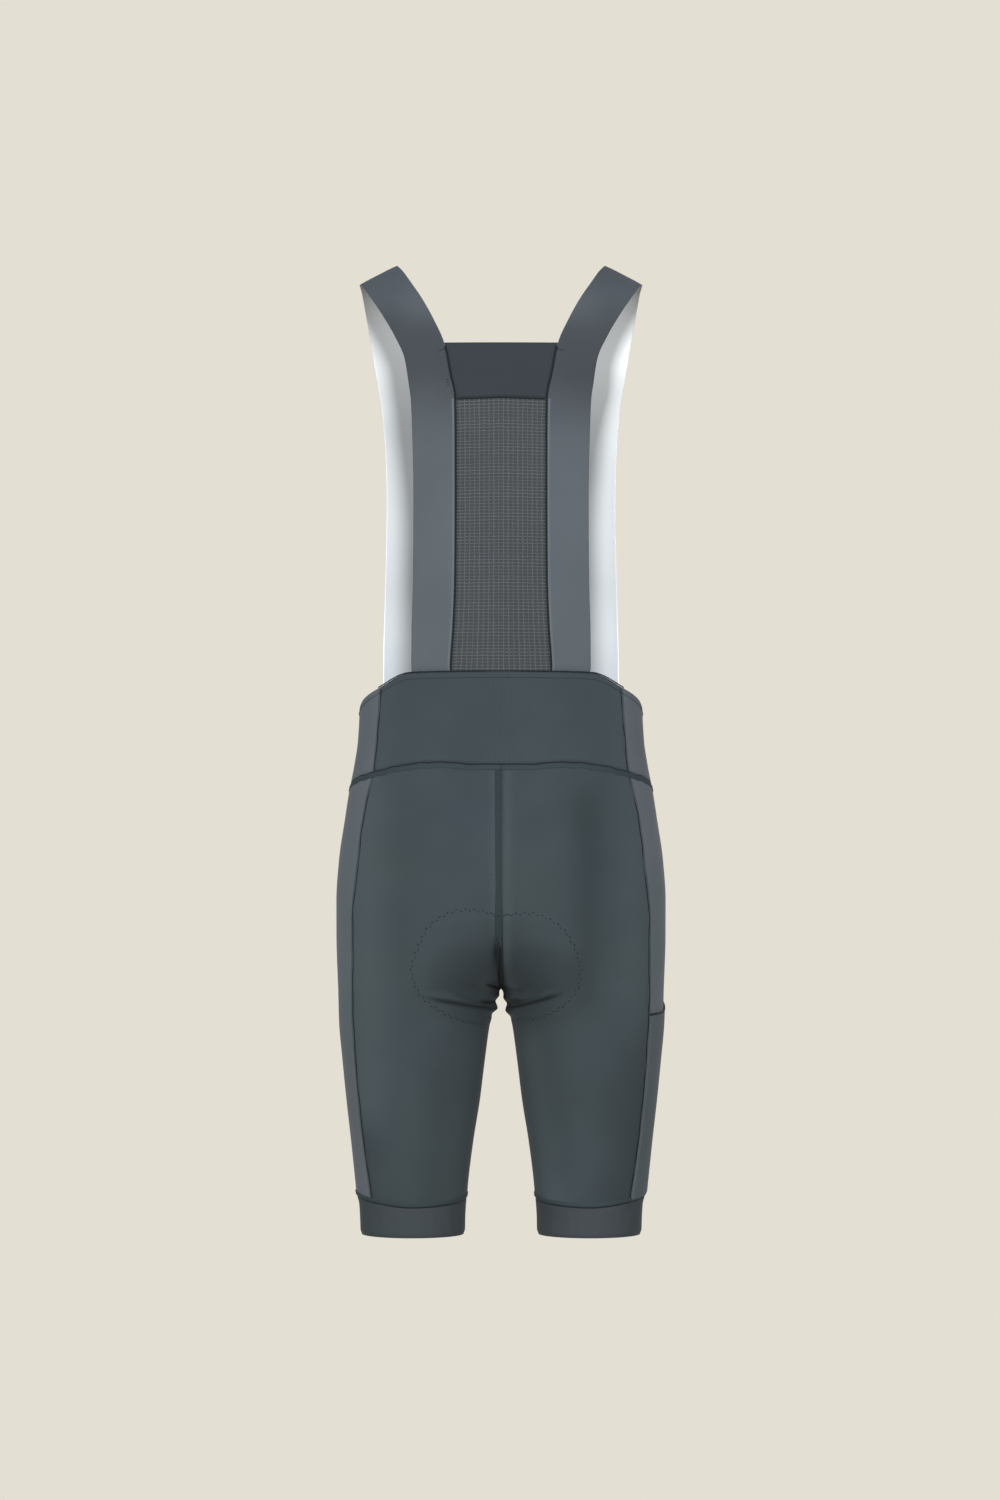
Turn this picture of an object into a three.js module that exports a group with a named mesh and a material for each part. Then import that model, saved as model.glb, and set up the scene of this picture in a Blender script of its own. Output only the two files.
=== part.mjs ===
// Cycling bib shorts, hollow and filled out as if worn, seen from behind in the photograph.
// Units are millimetres, +Z is up, -Y is the wearer's back and -X the wearer's left.
// The origin is midway between the shoulders, at the height where the straps bear on them.
import * as THREE from "three";

// Driving sizes.
const CLOTH = 1.5;
const STRAP_CLOTH = 1.6;
const GRIPPER_CLOTH = 1.8;
const POCKET_CLOTH = 1.2;
const SEAM_GAP = 0.3;
const CROTCH = -712;
const HEM = -957.5;
const TOP_LEVEL = -420;
const WAIST_SEAM_LEVEL = -497;
const CUFF_SEAM_LEVEL = -922;
const POCKET_GAP = 0.5;
const POCKET_LEVEL = -735;
const POCKET_FIRST_SHARE = 0.14;

// Finishes as they read in the photograph.
const SHORTS_GREY = { color: 0x49525a, roughness: 0.62, metalness: 0 };
const SIDE_GREY = { color: 0x565e64, roughness: 0.58, metalness: 0 };
const STRAP_GREY = { color: 0x666c73, roughness: 0.6, metalness: 0 };
const YOKE_GREY = { color: 0x41474c, roughness: 0.65, metalness: 0 };
const MESH_GREY = { color: 0x55595a, roughness: 0.8, metalness: 0 };
const PAD_GREY = { color: 0x34383c, roughness: 0.9, metalness: 0 };

// Monotone cubic through the points (xs, ys), held level beyond both ends.
function smooth(xs, ys, at) {
  const last = xs.length - 1;
  if (at <= xs[0]) return ys[0];
  if (at >= xs[last]) return ys[last];
  let k = 0;
  while (at > xs[k + 1]) k += 1;
  const chord = (i) => (ys[i + 1] - ys[i]) / (xs[i + 1] - xs[i]);
  const slope = (i) => {
    if (i === 0) return chord(0);
    if (i === last) return chord(last - 1);
    const [before, after] = [chord(i - 1), chord(i)];
    return before * after <= 0 ? 0 : (2 * before * after) / (before + after);
  };
  const width = xs[k + 1] - xs[k];
  const t = (at - xs[k]) / width;
  const rest = 1 - t;
  return (
    ys[k] * rest * rest * (1 + 2 * t) +
    ys[k + 1] * t * t * (3 - 2 * t) +
    width * t * rest * (slope(k) * rest - slope(k + 1) * t)
  );
}

// A table with named columns becomes a function of its first column.
function table(names, rows) {
  const sorted = [...rows].sort((p, q) => p[0] - q[0]);
  const keys = sorted.map((row) => row[0]);
  const columns = names.slice(1).map((name, k) => [name, sorted.map((row) => row[k + 1])]);
  return (at) =>
    Object.fromEntries(columns.map(([name, values]) => [name, smooth(keys, values, at)]));
}

const ramp = (from, to, at) => {
  const t = Math.min(1, Math.max(0, (at - from) / (to - from)));
  return t * t * (3 - 2 * t);
};
const bump = (distance, width) => Math.exp(-((distance / width) ** 2));
const degrees = (radians) => (radians * 180) / Math.PI;
const radians = (angle) => (angle * Math.PI) / 180;
const mix = (a, b, t) => a + (b - a) * t;

// Level sections of the right half. outer is the half width at the side. inner is where the
// leg's rounded lobe ends towards the middle: above the crotch it passes the middle and the
// two halves join. round softens that join, and back and front are the depths.
const SECTIONS = table(
  ["height", "outer", "inner", "round", "back", "front"],
  [
    [-380, 141.5, -58.5, 45, 98, 100],
    [-433, 141.5, -58.5, 45, 101, 101],
    [-464, 143, -60, 45, 106, 101],
    [-490, 146.8, -63, 45, 112, 101],
    [-514, 151.5, -64.5, 42, 117, 100],
    [-544, 156.2, -65, 37, 122.5, 98.5],
    [-584, 162, -64, 30, 127.5, 95.5],
    [-624, 164.6, -60, 20, 127, 92],
    [-664, 164.5, -39, 12, 121, 88],
    [-682, 164, -22, 9, 117, 86.5],
    [-702, 163.2, -3.5, 6, 111, 85.2],
    [-712, 162.8, 5, 5, 108, 84.5],
    [-724, 162.5, 7.2, 5, 104.5, 84],
    [-744, 162, 11.6, 5, 99, 82.5],
    [-784, 158.5, 16.9, 5, 90.5, 78.5],
    [-824, 154.5, 21.7, 5, 82.5, 73],
    [-864, 150, 28, 5, 75, 67.5],
    [-904, 145.8, 33, 5, 68, 62.5],
    [-918, 144.3, 34.2, 5, 66, 61.2],
    [-927, 141.8, 35.2, 5, 64.8, 60.4],
    [-940, 140.9, 35.9, 5, 63.6, 59.5],
    [-960, 140.4, 36.4, 5, 62.6, 58.6],
  ],
);

// Where the side panels meet the back and front panels, as a distance from the middle.
const SIDE_SEAM = table(
  ["height", "across"],
  [
    [-413, 119],
    [-492, 125.5],
    [-520, 132],
    [-548, 137],
    [-581, 141],
    [-648, 147],
    [-735, 147],
    [-762, 145.7],
    [-839, 139.5],
    [-921, 128.6],
  ],
);

// Edges that run round the body, by angle from the side: -90 is the back, 90 the front.
const WAIST_TOP = table(
  ["angle", "height"],
  [
    [-90, -397],
    [-58, -398.5],
    [-36, -412.5],
    [-15, -424.5],
    [0, -433],
    [22, -439],
    [60, -444],
    [90, -448],
  ],
);
const WAIST_SEAM = table(
  ["angle", "height"],
  [
    [-90, -488.5],
    [-72, -486],
    [-58, -488.5],
    [-37, -495.5],
    [-15, -503],
    [0, -510],
    [30, -518],
    [60, -523],
    [90, -525],
  ],
);
const CUFF_SEAM = table(
  ["angle", "height"],
  [
    [-180, -920],
    [-135, -925],
    [-90, -927],
    [-45, -923],
    [0, -918],
    [90, -916],
    [180, -920],
  ],
);
const POCKET_TOP = table(
  ["angle", "height"],
  [
    [-38, -736],
    [-15, -735],
    [5, -729],
    [38, -706],
  ],
);

// Creases beside the crotch, as lines across the back (half -1) and the front (half 1) of
// the left (side -1) and right legs. They rise outwards, with a soft ridge above each.
const CREASES = [
  { half: -1, side: -1, start: [7, -731], end: [68, -719.5], depth: 2.4, width: 3.6, ridge: 1.3 },
  { half: -1, side: 1, start: [7, -731], end: [56, -715.5], depth: 2.6, width: 3.6, ridge: 1.5 },
  { half: -1, side: -1, start: [2, -706], end: [20, -709.5], depth: 1.4, width: 3, ridge: 0.5 },
  { half: -1, side: 1, start: [2, -708], end: [24, -711.5], depth: 1.4, width: 3, ridge: 0.5 },
  { half: 1, side: -1, start: [13, -725], end: [76, -684], depth: 1.8, width: 4.2, ridge: 1.2 },
  { half: 1, side: 1, start: [12, -728], end: [66, -689], depth: 2, width: 4, ridge: 1.3 },
  { half: 1, side: -1, start: [12, -746], end: [58, -727], depth: 1.3, width: 3.6, ridge: 0.6 },
  { half: 1, side: 1, start: [12, -744], end: [64, -721], depth: 1.1, width: 3.8, ridge: 0.6 },
];
const CREASE_FADE = [20, 50];
const PAD_RELIEF = { middle: -690, halfWidth: 89, halfHeight: 57, rise: 1.2, power: 2.6 };

// The seat pad along the middle: angle round from the crotch, how far its edge sweeps
// outwards in degrees, and how far that edge drops below the middle line.
const PAD = table(
  ["turn", "sweep", "drop"],
  [
    [-73, 24, -1],
    [-68, 38, 2],
    [-60, 46, 8],
    [-45, 47, 22],
    [-30, 49, 26],
    [-15, 42, 29],
    [0, 0, 36],
    [15, 30, 27],
    [30, 31, 18],
    [45, 28, 9],
    [58, 23, 3],
    [66, 15, 0],
  ],
);
const PAD_THICK = { middle: 7, edge: 2.2 };
const PAD_GAP = 2.9;
const PAD_TURNS = [-73, 66];
const PAD_ROWS = 24;
const PAD_COLUMNS = 14;

// Right strap, by station, from the back waist over the shoulder to the front waist:
// x, y and z of its inner edge, then of its outer edge.
const STRAP = table(
  ["station", "innerX", "innerY", "innerZ", "outerX", "outerY", "outerZ"],
  [
    [0, 50.2, -95.8, -396.6, 88.6, -83.4, -398],
    [1, 48.9, -97.6, -376, 88.4, -85.6, -376],
    [2, 47.3, -99.8, -355, 88.2, -87.8, -355],
    [3, 45.3, -104, -303, 86.7, -92.3, -303],
    [4, 44.8, -109.3, -228, 86.2, -98, -228],
    [5, 44.8, -112.5, -169, 87.2, -101, -169],
    [6, 45.3, -113.5, -129, 88.7, -102, -130],
    [7, 50.1, -111.5, -103.6, 90.9, -99.5, -113.5],
    [8, 56, -106, -74, 95.1, -94.5, -88],
    [9, 66.6, -95, -49.4, 104.6, -86, -66.4],
    [10, 77.7, -79, -28.6, 116.2, -72, -45.8],
    [11, 89.4, -54, -10.2, 128.5, -50, -26.6],
    [12, 98.5, -28, 3.6, 137, -26.5, -14.4],
    [13, 104, -2, 10, 141.5, -3, -9.5],
    [14, 103, 26, 4.5, 140, 22, -14.5],
    [15, 99.5, 53, -14, 137, 46, -31],
    [16, 94, 76, -44, 132.5, 67, -58],
    [17, 87, 93, -82, 127, 82, -93],
    [18, 80.5, 104, -123, 121, 92, -131],
    [19, 76.5, 109.5, -170, 117.5, 97, -174],
    [20, 75.5, 110, -228, 116.3, 96.5, -229],
    [21, 78.5, 105, -303, 117.5, 88, -303],
    [22, 82.5, 97, -380, 119.3, 75.5, -380],
    [23, 86.5, 87.4, -443.4, 119.5, 61.9, -441],
  ],
);
const LAST_STATION = 23;
const YOKE_TOP = -74;
const YOKE_SEAM = -129.5;
const BACK_BULGE = 3.4;

// The lobe of one level section, ready to be walked round by angle.
function section(height) {
  const s = SECTIONS(height);
  const reach = Math.hypot(s.outer, s.round);
  return { ...s, lobe: (reach - s.inner) / 2, centre: (reach + s.inner) / 2 };
}

// Zero on the body's form, negative inside it.
function form(x, y, z) {
  const s = section(z);
  const across = (Math.hypot(x, s.round) - s.centre) / s.lobe;
  const deep = y / (y < 0 ? s.back : s.front);
  return across * across + deep * deep - 1;
}

function outwardAt(p) {
  const h = 0.4;
  return new THREE.Vector3(
    form(p.x + h, p.y, p.z) - form(p.x - h, p.y, p.z),
    form(p.x, p.y + h, p.z) - form(p.x, p.y - h, p.z),
    form(p.x, p.y, p.z + h) - form(p.x, p.y, p.z - h),
  ).normalize();
}

// The angle, from the side, where a level section meets the middle plane: 180 on the legs.
function middleAngle(height) {
  const s = section(height);
  return degrees(Math.acos(Math.max(-1, (s.round - s.centre) / s.lobe)));
}

function seamAngle(height) {
  const s = section(height);
  const { across } = SIDE_SEAM(height);
  return degrees(Math.acos((Math.hypot(across, s.round) - s.centre) / s.lobe));
}

// How far folds and the pad push the cloth out at a point of the right or left half.
function relief(p, side) {
  const half = p.y < 0 ? -1 : 1;
  let out = 0;
  for (const c of CREASES.filter((crease) => crease.side === side && crease.half === half)) {
    const along = (p.x - c.start[0]) / (c.end[0] - c.start[0]);
    const off = p.z - mix(c.start[1], c.end[1], along);
    const ends = ramp(-0.15, 0.12, along) * (1 - ramp(0.7, 1.2, along));
    const shown = ends * ramp(...CREASE_FADE, Math.abs(p.y));
    out += shown * (c.ridge * bump(off - 2 * c.width, 1.5 * c.width) - c.depth * bump(off, c.width));
  }
  if (half > 0) return out;
  const pad = PAD_RELIEF;
  const reach = Math.hypot(
    Math.abs(p.x / pad.halfWidth) ** (pad.power / 2),
    Math.abs((p.z - pad.middle) / pad.halfHeight) ** (pad.power / 2),
  );
  return out + pad.rise * (1 - ramp(0.82, 1.08, reach));
}

// A point of the cloth, depth below its outer face.
function skin(angle, height, side, depth = 0, shift = SEAM_GAP / 2) {
  const s = section(height);
  const turn = radians(angle);
  const reach = s.centre + s.lobe * Math.cos(turn);
  const p = new THREE.Vector3(
    Math.sqrt(Math.max(0, reach * reach - s.round * s.round)),
    (angle < 0 ? s.back : s.front) * Math.sin(turn),
    height,
  );
  p.addScaledVector(outwardAt(p), relief(p, side) - depth);
  p.x = side * (Math.max(0, p.x) + shift);
  return p;
}

// Half a seam gap as an angle.
function gapAngle(angle, height) {
  const s = section(height);
  const turn = radians(angle);
  return degrees(SEAM_GAP / 2 / Math.hypot(s.lobe * Math.sin(turn), s.back * Math.cos(turn)));
}

// A closed wall between two grids of points. A ring's last column meets its first.
function wall(outer, inner, ring = false) {
  const rows = outer.length;
  const columns = outer[0].length;
  const points = [...outer.flat(), ...inner.flat()];
  const index = [];
  const at = (layer, i, j) => (layer * rows + i) * columns + (j % columns);
  const quad = (a, b, c, d) => index.push(a, b, c, a, c, d);
  const lastColumn = ring ? columns : columns - 1;
  for (let i = 0; i < rows - 1; i += 1) {
    for (let j = 0; j < lastColumn; j += 1) {
      quad(at(0, i, j), at(0, i, j + 1), at(0, i + 1, j + 1), at(0, i + 1, j));
      quad(at(1, i, j), at(1, i + 1, j), at(1, i + 1, j + 1), at(1, i, j + 1));
    }
    if (!ring) {
      quad(at(0, i, 0), at(0, i + 1, 0), at(1, i + 1, 0), at(1, i, 0));
      quad(at(0, i, lastColumn), at(1, i, lastColumn), at(1, i + 1, lastColumn), at(0, i + 1, lastColumn));
    }
  }
  const end = rows - 1;
  for (let j = 0; j < lastColumn; j += 1) {
    quad(at(0, 0, j), at(1, 0, j), at(1, 0, j + 1), at(0, 0, j + 1));
    quad(at(0, end, j), at(0, end, j + 1), at(1, end, j + 1), at(1, end, j));
  }
  return facingOut(points, index);
}

// Turns every triangle round if the solid would be inside out.
function facingOut(points, index) {
  let volume = 0;
  for (let i = 0; i < index.length; i += 3) {
    const [a, b, c] = [points[index[i]], points[index[i + 1]], points[index[i + 2]]];
    volume += a.dot(new THREE.Vector3().crossVectors(b, c));
  }
  const turned = volume < 0 ? [...index].reverse() : index;
  const geometry = new THREE.BufferGeometry().setFromPoints(points);
  geometry.setIndex(turned);
  return geometry;
}

// Columns round each panel and rows down it.
const WAIST_ROWS = 5;
const BACK_WAIST_COLUMNS = 16;
const FRONT_WAIST_COLUMNS = 14;
const BACK_LEG_COLUMNS = 11;
const SIDE_COLUMNS = 4;
const FRONT_LEG_COLUMNS = 9;
const GRIPPER_ROWS = 2;

const steps = (count) => Array.from({ length: count + 1 }, (_, i) => i / count);

function named(name, geometry, finish) {
  const mesh = new THREE.Mesh(geometry, new THREE.MeshStandardMaterial(finish));
  mesh.name = name;
  return mesh;
}

// Both faces of a panel whose rows and columns are fractions from 0 to 1.
function panel(rows, columns, point, ring = false) {
  const face = (layer) => rows.map((row) => columns.map((column) => point(row, column, layer)));
  return wall(face(0), face(1), ring);
}

// Waist panels. from and to give the angles of the two upright edges at a height.
function waistPoint(row, share, from, to, side, layer) {
  const angleAt = (height) => mix(from(height), to(height), share);
  const top = WAIST_TOP(angleAt(TOP_LEVEL)).height;
  const bottom = WAIST_SEAM(angleAt(WAIST_SEAM_LEVEL)).height + SEAM_GAP / 2;
  const height = mix(top, bottom, row);
  return skin(angleAt(height), height, side, layer * CLOTH, 0);
}

function sideAngle(half) {
  return (height) => half * seamAngle(height);
}

// An edge held back from a seam by half the gap, towards the given direction.
function backedOff(edge, direction) {
  return (height) => edge(height) + direction * gapAngle(edge(height), height);
}

// The waist panel across the middle of the back (half -1) or the front (half 1).
function middleWaist(half, columns) {
  const middle = (height) => half * middleAngle(height);
  const edge = backedOff(sideAngle(half), half);
  return panel(steps(WAIST_ROWS), steps(columns), (row, column, layer) => {
    const across = 2 * column - 1;
    return waistPoint(row, Math.abs(across), middle, edge, Math.sign(across) || 1, layer);
  });
}

function sideWaist(side) {
  const from = backedOff(sideAngle(-1), 1);
  const to = backedOff(sideAngle(1), -1);
  return panel(steps(WAIST_ROWS), steps(SIDE_COLUMNS), (row, column, layer) =>
    waistPoint(row, column, from, to, side, layer),
  );
}

// Heights along the middle seam at equal steps of its length, as shares of its drop.
function middleShares(half, count) {
  const top = WAIST_SEAM(half * 90).height;
  const fine = steps(400).map((share) => {
    const z = mix(top, CROTCH, share);
    const p = skin(half * middleAngle(z), z, 1);
    return { share, y: p.y, z };
  });
  let length = 0;
  const along = fine.map((p, i) => {
    if (i) length += Math.hypot(p.y - fine[i - 1].y, p.z - fine[i - 1].z);
    return length;
  });
  return steps(count).map((share) => {
    const k = along.findIndex((l) => l >= share * length - 1e-9);
    return fine[k].share;
  });
}

const TRUNK_ROWS = 12;
const LEG_SHARES = [0.022, 0.045, 0.068, 0.09, 0.112, 0.135, 0.17, 0.24, 0.34, 0.46, 0.58, 0.71, 0.85, 1];

// Rows of a leg panel: on the trunk they fan out from the middle seam, below they are level.
function legRows(half) {
  const shares = middleShares(half, TRUNK_ROWS);
  const trunk = shares.map((inShare, i) => ({ trunk: true, inShare, outShare: i / TRUNK_ROWS }));
  return [...trunk, ...LEG_SHARES.map((share) => ({ trunk: false, share }))];
}

// Height of a leg panel's point: share runs from the middle seam to the side seam.
function legHeight(row, share, angleAt) {
  if (row.trunk) {
    const top = WAIST_SEAM(angleAt(WAIST_SEAM_LEVEL)).height - SEAM_GAP / 2;
    return mix(top, CROTCH, mix(row.inShare, row.outShare, share ** 0.8));
  }
  const bottom = CUFF_SEAM(angleAt(CUFF_SEAM_LEVEL)).height + SEAM_GAP / 2;
  return mix(CROTCH, bottom, row.share);
}

function mainLegPanel(half, side, columns) {
  const inner = (height) => {
    const middle = middleAngle(height);
    return half * Math.min(middle, 180 - gapAngle(180, height));
  };
  const outer = backedOff(sideAngle(half), half);
  return panel(legRows(half), steps(columns), (row, share, layer) => {
    const angleAt = (height) => mix(inner(height), outer(height), share);
    const height = legHeight(row, share, angleAt);
    return skin(angleAt(height), height, side, layer * CLOTH);
  });
}

function sideLegAngles() {
  return [backedOff(sideAngle(-1), 1), backedOff(sideAngle(1), -1)];
}

function sideLegPanel(side) {
  const [from, to] = sideLegAngles();
  return panel(legRows(-1), steps(SIDE_COLUMNS), (row, share, layer) => {
    const angleAt = (height) => mix(from(height), to(height), share);
    const height = legHeight(row, 1, angleAt);
    return skin(angleAt(height), height, side, layer * CLOTH);
  });
}

// The pocket lies on the side panel, a seam gap outside it, open along its top edge.
function pocket(side) {
  const [from, to] = sideLegAngles();
  const rows = [0, ...LEG_SHARES.filter((share) => share > POCKET_FIRST_SHARE)];
  return panel(rows, steps(SIDE_COLUMNS), (row, share, layer) => {
    const angleAt = (height) => mix(from(height), to(height), share);
    const top = POCKET_TOP(angleAt(POCKET_LEVEL)).height;
    const height = row ? legHeight({ share: row }, share, angleAt) : top;
    const proud = POCKET_GAP + POCKET_CLOTH;
    return skin(angleAt(height), height, side, layer * POCKET_CLOTH - proud);
  });
}

// The leg hem band, its columns in line with those of the panels above it.
function gripper(side) {
  const seams = [() => -180, sideAngle(-1), sideAngle(1), () => 180];
  const counts = [BACK_LEG_COLUMNS, SIDE_COLUMNS, FRONT_LEG_COLUMNS];
  const columns = counts.flatMap((count, k) =>
    steps(count)
      .slice(0, -1)
      .map((share) => (height) => mix(seams[k](height), seams[k + 1](height), share)),
  );
  return panel(
    steps(GRIPPER_ROWS),
    columns,
    (row, angleAt, layer) => {
      const top = CUFF_SEAM(angleAt(CUFF_SEAM_LEVEL)).height - SEAM_GAP / 2;
      const height = mix(top, HEM, row);
      return skin(angleAt(height), height, side, layer * GRIPPER_CLOTH);
    },
    true,
  );
}

// The height where the middle seam has turned by the given angle round the crotch.
function heightOfTurn(turn) {
  let [low, high] = [CROTCH, WAIST_SEAM_LEVEL];
  for (let i = 0; i < 40; i += 1) {
    const z = (low + high) / 2;
    if (180 - middleAngle(z) < Math.abs(turn)) low = z;
    else high = z;
  }
  return low;
}

// The seat pad, one moulded piece under the crotch from back to front, inside the cloth.
function pad() {
  return panel(steps(PAD_ROWS), steps(PAD_COLUMNS), (row, column, layer) => {
    const turn = mix(PAD_TURNS[0], PAD_TURNS[1], row);
    const across = 2 * column - 1;
    const { sweep, drop } = PAD(turn);
    const half = turn < 0 ? -1 : 1;
    const angle = half * (180 - Math.abs(turn) - Math.abs(across) * sweep);
    const height = heightOfTurn(turn) - Math.abs(across) * drop;
    const thick = mix(PAD_THICK.middle, PAD_THICK.edge, ramp(0.35, 1, Math.abs(across)));
    const depth = CLOTH + PAD_GAP + layer * thick;
    return skin(angle, height, Math.sign(across) || 1, depth, 0);
  });
}

// A point across the strap: share 0 is its inner edge and 1 its outer edge.
function strapPoint(station, share) {
  const s = STRAP(station);
  return new THREE.Vector3(
    mix(s.innerX, s.outerX, share),
    mix(s.innerY, s.outerY, share),
    mix(s.innerZ, s.outerZ, share),
  );
}

function strapInward(station) {
  const h = 0.02;
  const along = strapPoint(Math.min(LAST_STATION, station + h), 0.5);
  along.sub(strapPoint(Math.max(0, station - h), 0.5));
  const across = strapPoint(station, 1).sub(strapPoint(station, 0));
  return across.cross(along).normalize();
}

function strap(side) {
  const stations = steps(LAST_STATION * 2).map((share) => share * LAST_STATION);
  return panel(stations, steps(2), (station, share, layer) => {
    const p = strapPoint(station, share);
    p.addScaledVector(strapInward(station), layer * STRAP_CLOTH);
    p.x *= side;
    return p;
  });
}

// The strap's inner edge at a height of the back.
function innerEdge(height) {
  let [low, high] = [0, 10];
  for (let i = 0; i < 40; i += 1) {
    const station = (low + high) / 2;
    if (STRAP(station).innerZ < height) low = station;
    else high = station;
  }
  return strapPoint(low, 0);
}

// A back panel between the two straps, from the lower to the upper height.
function backPanel(lower, upper, rows, cloth) {
  return panel(steps(rows), steps(6), (row, column, layer) => {
    const height = mix(lower, upper, row);
    const edge = innerEdge(height);
    const across = 2 * column - 1;
    const y = edge.y - BACK_BULGE * (1 - across * across);
    return new THREE.Vector3(across * (edge.x - SEAM_GAP), y + layer * cloth, height);
  });
}

const garment = new THREE.Group();
garment.add(
  named("back_waist_panel", middleWaist(-1, BACK_WAIST_COLUMNS), SHORTS_GREY),
  named("front_waist_panel", middleWaist(1, FRONT_WAIST_COLUMNS), SHORTS_GREY),
  named("mesh_back_panel", backPanel(-396.6, YOKE_SEAM - SEAM_GAP / 2, 10, CLOTH), MESH_GREY),
  named("upper_back_panel", backPanel(YOKE_SEAM + SEAM_GAP / 2, YOKE_TOP, 4, CLOTH), YOKE_GREY),
  named("seat_pad", pad(), PAD_GREY),
);
for (const [word, side] of [["left", -1], ["right", 1]]) {
  garment.add(
    named(`side_waist_panel_${word}`, sideWaist(side), SIDE_GREY),
    named(`back_leg_panel_${word}`, mainLegPanel(-1, side, BACK_LEG_COLUMNS), SHORTS_GREY),
    named(`side_leg_panel_${word}`, sideLegPanel(side), SIDE_GREY),
    named(`front_leg_panel_${word}`, mainLegPanel(1, side, FRONT_LEG_COLUMNS), SHORTS_GREY),
    named(`gripper_${word}`, gripper(side), SHORTS_GREY),
    named(`strap_${word}`, strap(side), STRAP_GREY),
  );
}
garment.add(named("side_pocket_right", pocket(1), SIDE_GREY));

export default garment;
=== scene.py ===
"""Cycling bib shorts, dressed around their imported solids: thin knitted panels, seams, net and straps.

Lengths are worked out in millimetres in the solids' own frame and become metres in each mesh.
+Z is up, -Y is the wearer's back and -X the wearer's left. A side is -1 for the left and 1 for the
right. A half is -1 for the back and 1 for the front, or 0 for the side panels. Angles are degrees
from the garment's side, negative at the back.
"""

import logging
import math
from collections.abc import Callable, Sequence
from dataclasses import dataclass, field
from enum import Enum

import bmesh
import bpy
import numpy as np
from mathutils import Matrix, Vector


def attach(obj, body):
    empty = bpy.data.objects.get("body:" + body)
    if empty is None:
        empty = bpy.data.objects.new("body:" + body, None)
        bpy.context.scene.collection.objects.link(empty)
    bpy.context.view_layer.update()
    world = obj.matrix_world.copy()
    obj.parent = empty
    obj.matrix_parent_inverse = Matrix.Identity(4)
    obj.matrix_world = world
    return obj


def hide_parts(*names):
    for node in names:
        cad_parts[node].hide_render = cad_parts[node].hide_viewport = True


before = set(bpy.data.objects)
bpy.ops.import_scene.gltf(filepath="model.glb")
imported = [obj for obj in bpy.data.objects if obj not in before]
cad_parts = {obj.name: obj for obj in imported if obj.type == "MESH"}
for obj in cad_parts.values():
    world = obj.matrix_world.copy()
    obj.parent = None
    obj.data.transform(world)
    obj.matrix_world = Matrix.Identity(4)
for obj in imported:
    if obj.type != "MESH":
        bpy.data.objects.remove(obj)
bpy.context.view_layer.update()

LOG = logging.getLogger("bib_shorts")
MM = 0.001
BODY = "root"
SIDES = {"left": -1, "right": 1}
HALVES = {"back": -1, "front": 1}
EDGE_SPOT = (4.0, 3.0)
# Painted shade on the knit panels where no fold or light changes it, so that painted light can go below it.
PLAIN_SHADE = 0.42

Array = np.ndarray
Number = Array | float
Pair = tuple[float, float]
Triple = tuple[float, float, float]
Place = Callable[[Array, Array], Array]
Tone = Callable[[Array], Array]
Section = Callable[[Array, Array, Array], tuple[Array, Array]]
Piece = bpy.types.Object


# Shape helpers


class Table:
    """Named columns over one sorted key, read by a monotone cubic and level beyond both ends."""

    def __init__(self, names: str, *rows: tuple[float, ...]) -> None:
        """Sorts the rows by their key and works out each column's slopes.

        Args:
            names: The key's name and then each column's, with spaces between them.
            rows: One row of numbers for each key.
        """
        self.keys, *columns = np.array(sorted(rows), float).T
        self.columns: dict[str, tuple[Array, Array]] = {
            name: (column, self._slopes(column)) for name, column in zip(names.split()[1:], columns)
        }

    def _slopes(self, values: Array) -> Array:
        """Returns slopes that never overshoot, from the chords on both sides of each key."""
        chord = np.diff(values) / np.diff(self.keys)
        before, after = chord[:-1], chord[1:]
        total = np.where(before * after > 0, before + after, 1.0)
        inner = np.where(before * after > 0, 2 * before * after / total, 0.0)
        return np.concatenate([chord[:1], inner, chord[-1:]])

    def read(self, name: str, at: Number) -> Array:
        """Returns a column's values at one or more keys."""
        values, slopes = self.columns[name]
        at = np.clip(np.asarray(at, float), self.keys[0], self.keys[-1])
        k = np.clip(np.searchsorted(self.keys, at, side="right") - 1, 0, len(self.keys) - 2)
        width = self.keys[k + 1] - self.keys[k]
        t = (at - self.keys[k]) / width
        rest = 1 - t
        ends = values[k] * rest**2 * (1 + 2 * t) + values[k + 1] * t**2 * (3 - 2 * t)
        return ends + width * t * rest * (slopes[k] * rest - slopes[k + 1] * t)


def ramp(start: float, stop: float, at: Number) -> Array:
    """Returns a soft step from 0 at start to 1 at stop."""
    t = np.clip((np.asarray(at, float) - start) / (stop - start), 0, 1)
    return t * t * (3 - 2 * t)


def bump(distance: Array, width: float) -> Array:
    """Returns a soft hill of height 1 across a line."""
    return np.exp(-((distance / width) ** 2))


def wobble(at: Array, *waves: tuple[float, float, Number]) -> Array:
    """Returns the sum of some waves, each with its height, its rate and where it starts."""
    return sum(height * np.sin(at * rate + start) for height, rate, start in waves)


def mix(a: Number, b: Number, t: Number) -> Array:
    """Returns the value a share t of the way from a to b."""
    return a + (b - a) * t


def unit(vectors: Array) -> Array:
    """Returns the vectors at length 1."""
    return vectors / np.maximum(np.linalg.norm(vectors, axis=-1, keepdims=True), 1e-9)


def summed(steps: Array) -> Array:
    """Returns the running total of some steps, from 0."""
    return np.concatenate([[0], np.cumsum(steps)])


def smoothed(values: Array, width: int) -> Array:
    """Returns the values averaged over some neighbours, with the ends kept."""
    ends = np.concatenate([np.full(width, values[0]), values, np.full(width, values[-1])])
    soft = np.convolve(ends, np.ones(2 * width + 1) / (2 * width + 1), "valid")
    steps = np.arange(len(values))
    return mix(values, soft, np.minimum(1, np.minimum(steps, steps[::-1]) / width))


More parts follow.
